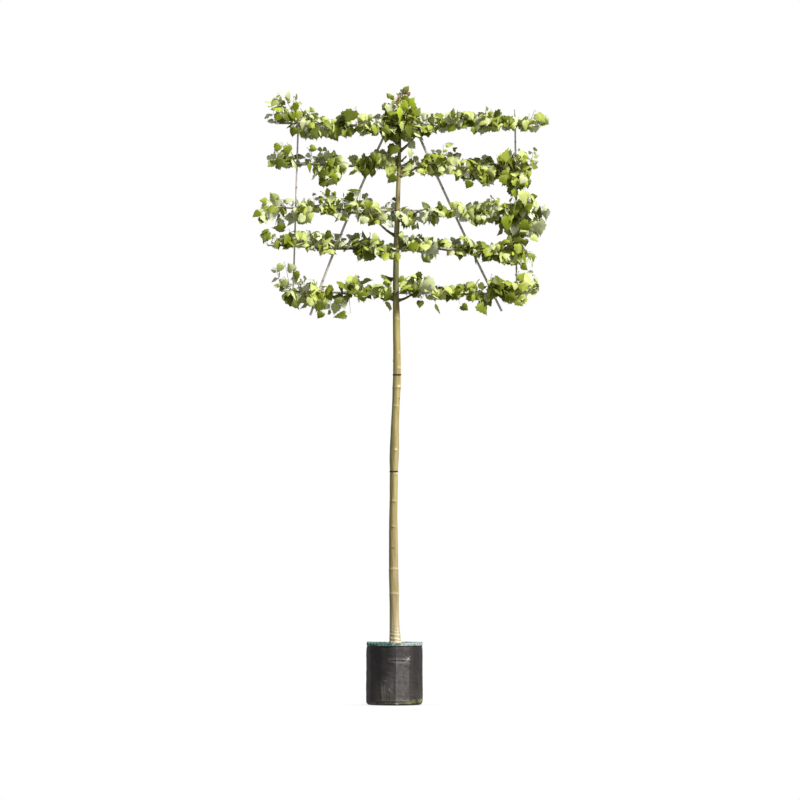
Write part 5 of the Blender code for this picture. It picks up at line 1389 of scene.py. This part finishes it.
# %% Places of the leaves that stand clear
# Sideways place and height of the blade's foot and its length in millimetres, how much of its width
# is seen, the degrees by which its tip leans to the right from straight down, and its age, whose
# tone also paints the light or shade on the leaf.
LONE = {
    ("leader", 0): (
        (-22, 3773, 71, 0.77, 0, "fresh"), (-43, 3771, 49, 0.9, -40, "shaded"),
        (57, 3823, 82, 0.6, 0, "bright"), (86, 3773, 72, 0.9, 140, "bright"),
        (94, 3778, 92, 0.65, 0, "bright"), (44, 3746, 98, 0.5, 0, "bright"),
        (57, 3659, 71, 0.38, 0, "light"), (-19, 3679, 49, 0.78, -90, "shaded"),
        (96, 3719, 61, 0.9, 40, "grown"), (28, 3723, 54, 0.9, -40, "grown"),
        (67, 3860, 45, 0.9, 140, "grown"), (-29, 3825, 36, 0.9, -140, "grown"),
        (-5, 3818, 33, 1, -90, "deep"), (45, 3784, 72, 0.9, 40, "bright"),
        (132, 3706, 66, 0.9, 140, "grown"), (33, 3796, 33, 1, -90, "blush"),
        (35, 3825, 30, 0.9, -140, "blush"), (63, 3842, 33, 0.83, 180, "blush"),
        (81, 3840, 31, 0.9, 140, "blush"), (27, 3774, 22, 1, -90, "blush"),
        (41, 3835, 33, 0.67, 180, "newest"),
    ),
    ("left", 1): (
        (-262, 3733, 96, 0.9, -40, "shaded"), (-504, 3627, 87, 1, 0, "shaded"),
        (-403, 3622, 97, 0.9, 40, "deep"), (-639, 3628, 62, 0.67, 0, "deep"),
        (-224, 3629, 51, 0.8, 0, "deep"), (-668, 3812, 57, 0.82, 180, "fresh"),
        (-735, 3789, 40, 0.5, -140, "fresh"), (-44, 3590, 65, 0.58, 0, "shaded"),
        (0, 3584, 71, 0.54, 0, "shaded"), (-72, 3626, 64, 0.9, 40, "grown"),
        (-117, 3641, 65, 0.83, 0, "grown"), (-727, 3715, 58, 0.9, -40, "deep"),
        (-734, 3690, 58, 0.5, 40, "shaded"), (-674, 3722, 71, 0.69, 0, "shaded"),
        (-636, 3729, 60, 0.82, 0, "deep"), (-595, 3729, 65, 0.67, 0, "grown"),
        (-719, 3752, 60, 0.73, -90, "bright"), (-610, 3621, 60, 0.4, -40, "shaded"),
        (-627, 3786, 65, 0.67, 0, "bright"), (-744, 3812, 65, 0.9, -40, "light"),
    ),
    ("left", 2): (
        (-722, 3519, 59, 0.9, -40, "grown"), (-671, 3514, 67, 0.92, 0, "deep"),
        (-712, 3429, 72, 0.9, -40, "shaded"), (-677, 3439, 62, 0.67, 0, "deep"),
        (-529, 3500, 51, 0.8, 90, "grown"), (-532, 3395, 57, 0.55, 0, "deep"),
        (-434, 3360, 66, 0.9, -40, "shaded"), (-444, 3301, 57, 1, 0, "shaded"),
        (-375, 3363, 67, 0.77, 0, "deep"), (-186, 3364, 62, 0.83, 0, "shaded"),
        (0, 3328, 72, 0.9, -40, "shaded"), (1, 3519, 87, 0.9, -40, "shaded"),
    ),
    ("left", 3): (
        (-851, 3100, 59, 0.9, -40, "deep"), (-806, 3169, 47, 1, -90, "grown"),
        (-748, 3173, 66, 0.9, -140, "light"), (-740, 3174, 67, 0.77, 0, "fresh"),
        (-760, 3134, 60, 0.9, -40, "grown"), (-680, 3178, 62, 0.67, 90, "fresh"),
        (-590, 3093, 83, 0.9, 40, "light"), (-391, 3124, 57, 0.82, 0, "grown"),
        (-240, 3241, 62, 0.5, -90, "shaded"), (-259, 3191, 67, 0.62, -90, "shaded"),
    ),
    ("left", 4): (
        (-782, 2952, 62, 1, -90, "deep"), (-695, 2989, 83, 0.62, -90, "grown"),
        (-734, 2910, 57, 0.73, 0, "deep"), (-542, 2880, 41, 0.62, 0, "deep"),
        (-142, 2843, 80, 0.9, -40, "shaded"), (-88, 2848, 47, 0.78, 0, "shaded"),
    ),
    ("left", 5): (
        (-705, 2764, 63, 0.9, -40, "light"), (-642, 2730, 63, 0.9, -140, "fresh"),
        (-627, 2720, 72, 0.71, 0, "grown"), (-696, 2671, 57, 0.91, 0, "light"),
        (-655, 2578, 114, 0.9, 40, "shaded"), (-454, 2532, 80, 0.9, -40, "shaded"),
        (-453, 2465, 56, 0.9, -40, "deep"), (-311, 2457, 83, 0.81, -90, "shaded"),
        (-243, 2647, 67, 0.77, 180, "grown"), (-329, 2555, 77, 0.93, -90, "shaded"),
        (-198, 2594, 72, 0.86, 0, "deep"), (-25, 2585, 72, 0.9, -40, "shaded"),
        (-702, 2624, 37, 0.9, -40, "shaded"),
    ),
    ("right", 1): (
        (908, 3718, 77, 0.9, 40, "grown"), (832, 3672, 72, 0.79, 0, "light"),
        (208, 3616, 51, 0.9, 0, "shaded"), (372, 3646, 63, 0.9, -40, "deep"),
        (507, 3629, 51, 0.8, 0, "deep"), (359, 3699, 62, 0.58, 180, "grown"),
        (98, 3633, 87, 0.75, 0, "shaded"), (112, 3612, 70, 0.9, 40, "shaded"),
        (97, 3538, 58, 0.9, 40, "fresh"), (54, 3597, 60, 0.73, 0, "deep"),
    ),
    ("right", 2): (
        (477, 3291, 58, 0.9, -40, "deep"), (558, 3306, 71, 0.9, 40, "shaded"),
        (702, 3417, 93, 0.56, 180, "grown"), (328, 3525, 51, 0.8, 90, "light"),
        (107, 3484, 54, 0.9, 0, "fresh"), (727, 3254, 78, 0.9, 40, "shaded"),
        (800, 3300, 76, 0.93, 0, "deep"), (692, 3333, 87, 0.9, 40, "deep"),
        (760, 3308, 72, 0.9, 40, "grown"), (802, 3304, 61, 0.9, 40, "bright"),
        (761, 3241, 61, 0.9, -40, "shaded"), (765, 3237, 76, 0.71, 0, "deep"),
    ),
    ("right", 3): (
        (211, 3124, 62, 0.9, -140, "shaded"), (236, 3049, 51, 0.6, 0, "deep"),
        (498, 3046, 52, 0.9, 40, "deep"), (715, 3065, 104, 0.8, 0, "deep"),
        (905, 3033, 96, 0.8, 0, "fresh"), (901, 3070, 77, 0.47, 180, "shaded"),
        (825, 3223, 98, 0.83, 0, "light"), (862, 3194, 44, 1, 90, "deep"),
        (810, 3106, 49, 1, 0, "bright"), (872, 2952, 57, 0.9, 40, "light"),
        (842, 3024, 87, 0.9, -40, "deep"), (781, 2943, 57, 0.9, -40, "shaded"),
    ),
    ("right", 4): (
        (196, 2813, 52, 0.9, 40, "shaded"), (422, 2847, 62, 0.92, 0, "deep"),
        (507, 2822, 62, 0.33, 0, "deep"), (598, 2840, 79, 0.9, -40, "shaded"),
        (677, 2836, 100, 0.9, 40, "shaded"), (220, 2913, 46, 0.9, 140, "shaded"),
        (819, 2924, 49, 1, 0, "shaded"), (759, 2848, 57, 0.6, 40, "bright"),
        (815, 2825, 54, 0.4, 28, "deep"), (800, 2763, 55, 0.7, 40, "bright"),
    ),
    ("right", 5): (
        (164, 2539, 51, 1, 0, "shaded"), (265, 2513, 67, 0.32, 26, "shaded"),
        (425, 2508, 54, 0.9, 40, "deep"), (432, 2596, 41, 0.75, 0, "deep"),
        (548, 2523, 88, 0.9, 40, "deep"), (504, 2570, 51, 0.5, 0, "grown"),
        (617, 2580, 52, 0.9, -40, "deep"), (630, 2685, 71, 0.9, 40, "shaded"),
        (668, 2626, 77, 0.87, 0, "shaded"), (716, 2584, 69, 0.9, 40, "deep"),
        (774, 2544, 57, 0.9, 40, "deep"), (790, 2666, 66, 0.9, 140, "grown"),
        (838, 2652, 57, 1, 90, "light"), (813, 2645, 62, 0.92, 0, "grown"),
        (183, 2659, 113, 0.9, 40, "fresh"), (169, 2690, 62, 0.75, -90, "shaded"),
        (340, 2571, 47, 1, 0, "shaded"), (809, 2700, 97, 0.9, 40, "light"),
    ),
}


def lone_leaf(rng, start_on, spot):
    """One placed leaf, in front of the tier, with its stalk and twig."""
    x, z, length, seen, lean, age = spot
    lean, length = math.radians(lean + rng.uniform(-12, 12)), length / 1000
    along = unit(np.array([math.sin(lean), rng.uniform(-0.30, 0.10), -math.cos(lean)]))
    front = np.array([0.0, -1.0, 0.0])
    spin = math.acos(min(0.97, seen)) * rng.choice((-1, 1))
    facing = front * math.cos(spin) + np.cross(along, front) * math.sin(spin)
    facing += np.array([rng.uniform(-0.1, 0.35), 0.0, rng.uniform(0.0, 0.45)])
    neck = np.array([x / 1000, -rng.uniform(0.055, 0.115), z / 1000])
    leaves[age].append((
        *neck, *along, *facing, length, rng.uniform(0.92, 1.05), rng.uniform(0.1, 0.4),
        rng.uniform(0.0, 0.6), rng.uniform(-0.35, 0.35), rng.uniform(0.01, 0.05),
        rng.uniform(0, math.tau)))
    root = np.array(start_on(lerp(neck[0], STEM_TOP_X, 0.07)))
    back = neck - along * length * 0.42
    if np.linalg.norm(back - root) > 0.03:
        twig = curve_through(root, lerp(root, back, 0.5) + np.array([0, -0.01, 0.012]), back, 5)
        shoots.tube(twig, np.linspace(0.0020, 0.0014, 6), 6)
        root = back
    stalk = curve_through(root, lerp(root, neck, 0.5) + np.array([0, 0, 0.003]), neck, 3)
    stalks.tube(stalk, (0.0014, 0.0012, 0.0011, 0.0012), 5)


print(sum(len(spots) for spots in LONE.values()), "leaves stand clear")

# %% Grow ten half tiers
LEAD_STEP, BUD_SWELLING = 0.012, 0.0006     # metres
for (side, tier), places in SHOOTS.items():
    out = 1 if side == "right" else -1
    lead = smooth_line(leading_stem(side, tier, places[-1][0] / 1000 - 0.02), LEAD_STEP)
    t = np.linspace(0, 1, len(lead))
    radii = lerp(BOUGH_TIP_RADIUS - 0.0003, 0.0024, t ** 0.8)
    buds = np.sin(t * len(lead) * LEAD_STEP * 160) > 0.93
    leads.tube(lead, radii + BUD_SWELLING * buds, 10)
    order = lead[np.argsort(lead[:, 0])]

    def start_on(x, order=order):
        return [float(np.interp(x, order[:, 0], order[:, c])) for c in range(3)]

    for index, (distance, rise, hang, kind, full) in enumerate(places):
        x = STEM_TOP_X + out * distance / 1000
        middle = np.array(cane_point(tier, x))
        space = ((x - HALF_WIDTH, x + HALF_WIDTH), (-CROWN_DEPTH, CROWN_DEPTH),
                 (middle[2] - hang / 1000, middle[2] + rise / 1000))
        cane = float(middle[2]) if distance < CANE_SHOWS_TO else None
        grow_place(random.Random(f"{side} {tier} {index}"), start_on, middle, space, kind, full,
                   cane=cane)
    for index, spot in enumerate(LONE[side, tier]):
        lone_leaf(random.Random(f"alone {side} {tier} {index}"), start_on, spot)
print(sum(len(rows) for rows in leaves.values()), "leaves on the tiers")

# %% [markdown]
# ## The leader
# Above the top cane the stem goes on as a bushy leader: short shoots one above another, all young,
# the newest tinged pink. It grows by the same rule from a stem that stands upright.

# %% Grow the leader
LEADER_TIP = (0.054, 0.150)   # sideways place and height above the tip of the stem
LEADER_DEPTH, LEADER_REACH = 0.135, 0.072   # half depth of a place, and its rise and hang
LEADER_LEAF_SIZE = 0.9        # against the leaves of the tiers
# Height above the stem's tip, width to the left and to the right in millimetres, age and fullness.
LEADER = ((-58, 84, 96, "mixed", 0.8), (-6, 92, 92, "mixed", 0.55), (44, 78, 92, "pale", 0.6),
          (92, 60, 92, "young", 0.8), (136, 46, 52, "young", 0.5))
foot = np.array(stem_centre(STEM[-1][0]))
tip = np.array([LEADER_TIP[0], CANE_FRONT - 0.006, STEM[-1][0] + LEADER_TIP[1]])
lead = curve_through(foot, foot + np.array([0, 0, 0.06]), tip, 14)
leads.tube(lead, np.linspace(0.0066, 0.0022, len(lead)), 10)
for index, (height, left, right, kind, full) in enumerate(LEADER):
    middle = foot + (tip - foot) * height / 1000 / LEADER_TIP[1]
    space = ((middle[0] - left / 1000, middle[0] + right / 1000), (-LEADER_DEPTH, LEADER_DEPTH),
             (middle[2] - LEADER_REACH, min(middle[2] + LEADER_REACH, tip[2] + 0.042)))
    share = min(0.97, max(0.06, (middle[2] - foot[2]) / (tip[2] - foot[2])))
    start = foot + (tip - foot) * share
    grow_place(random.Random(f"leader {index}"), lambda x, start=start: start, middle, space, kind,
               full, LEADER_LEAF_SIZE)
for index, spot in enumerate(LONE["leader", 0]):
    near = lead[np.argmin(np.abs(lead[:, 2] - spot[1] / 1000 + 0.02))]
    lone_leaf(random.Random(f"alone leader {index}"), lambda x, near=near: near, spot)

# %% Join each kind, and let it stand for the masses of foliage
masses = [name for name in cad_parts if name.startswith("foliage_")]
for age, rows in leaves.items():
    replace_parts(leaf_piece(f"leaves_{age}", rows, leaf_finishes[age]), *masses)
for heap, name, finish in ((leads, "leading_stems", young_bark),
                           (shoots, "young_shoots", shoot_green),
                           (stalks, "leaf_stalks", stalk_green)):
    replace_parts(heap.piece(name, finish, "foliage"), *masses)
print(sum(len(rows) for rows in leaves.values()), "leaves in all, for", len(masses), "masses")

# %% [markdown]
# ## Floor, light and camera
# A product set: a plain pale floor that runs into a pale surround, one large soft sun from the
# right that models the round stem, and a low even fill from all round. The surround is bright to
# look at but lights the tree only weakly, so that the shaded side of the stem stays dark. The floor
# has an even wash of its own and no shadow lies on it, so either light can be set by itself.

# %% The floor
floor_mesh = bpy.data.meshes.new("studio_floor")
floor_mesh.from_pydata([(x, y, -0.0005) for x, y in ((-9, -9), (9, -9), (9, 9), (-9, 9))], [],
                       [(0, 1, 2, 3)])
floor_mesh.materials.append(new_material("pale studio vinyl", "#f7f7f7", 0.9)[0])
floor = in_scene("studio_floor", floor_mesh)
floor.visible_diffuse = False
floor.visible_glossy = False
floor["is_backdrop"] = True
print("the floor lies at z =", floor_mesh.vertices[0].co.z)


# %% The sun and the surround
def new_sun(name, strength, lights):
    """A sun that lights only these objects."""
    light = in_scene(name, bpy.data.lights.new(name, "SUN"))
    light.data.energy = strength
    lit = bpy.data.collections.new(f"lit_by_{name}")
    for ob in lights:
        lit.objects.link(ob)
    light.light_linking.receiver_collection = lit
    return light


SUN_TURN, SUN_HEIGHT = 51, 47          # degrees right of the front, and above the horizon
SUN_WIDTH = 9                          # degrees: a wide sun has soft shadows
FILL, BACKDROP = 0.43, 1.0             # the surround as light, and as the camera sees it
pieces = [ob for ob in bpy.data.objects if ob.type == "MESH" and ob != floor]
sun = new_sun("large_softbox", 5.9, pieces)
sun.data.angle = math.radians(SUN_WIDTH)
a, b = math.radians(SUN_TURN), math.radians(SUN_HEIGHT)
towards = Vector((math.sin(a) * math.cos(b), -math.cos(a) * math.cos(b), math.sin(b)))
sun.rotation_euler = towards.to_track_quat("Z", "Y").to_euler()
new_sun("floor_wash", 2.3, [floor]).data.use_shadow = False
world = bpy.data.worlds.new("pale_surround")
bpy.context.scene.world = world
world.use_nodes = True
tree = world.node_tree
back = tree.nodes["Background"]
seen = add(tree, "LightPath").outputs["Is Camera Ray"]
level = add(tree, "MapRange", {"Value": seen, "To Min": FILL, "To Max": BACKDROP})
back.inputs["Color"].default_value = (1.0, 1.0, 1.0, 1.0)
tree.links.new(level.outputs["Result"], back.inputs["Strength"])
bpy.context.scene.view_settings.view_transform = "Standard"
print("sun comes from", [round(c, 2) for c in towards])

# %% The camera
EYE, LOOKS_AT = Vector((0.035, -32.0, 1.1)), Vector((0.035, 0.0, 1.918))
camera = in_scene("camera", bpy.data.cameras.new("camera"))
camera.location = EYE
camera.rotation_euler = (LOOKS_AT - EYE).to_track_quat("-Z", "Y").to_euler()
camera.data.sensor_width, camera.data.lens = 36.0, 228.57
camera.data.clip_end = 200.0
bpy.context.scene.camera = camera
print("the camera stands", round((LOOKS_AT - EYE).length, 1), "m away")

# %% Print the dressed box and finish
dressed = [list(corner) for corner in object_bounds()]
print("visual box:", [[round(c, 3) for c in corner] for corner in dressed])
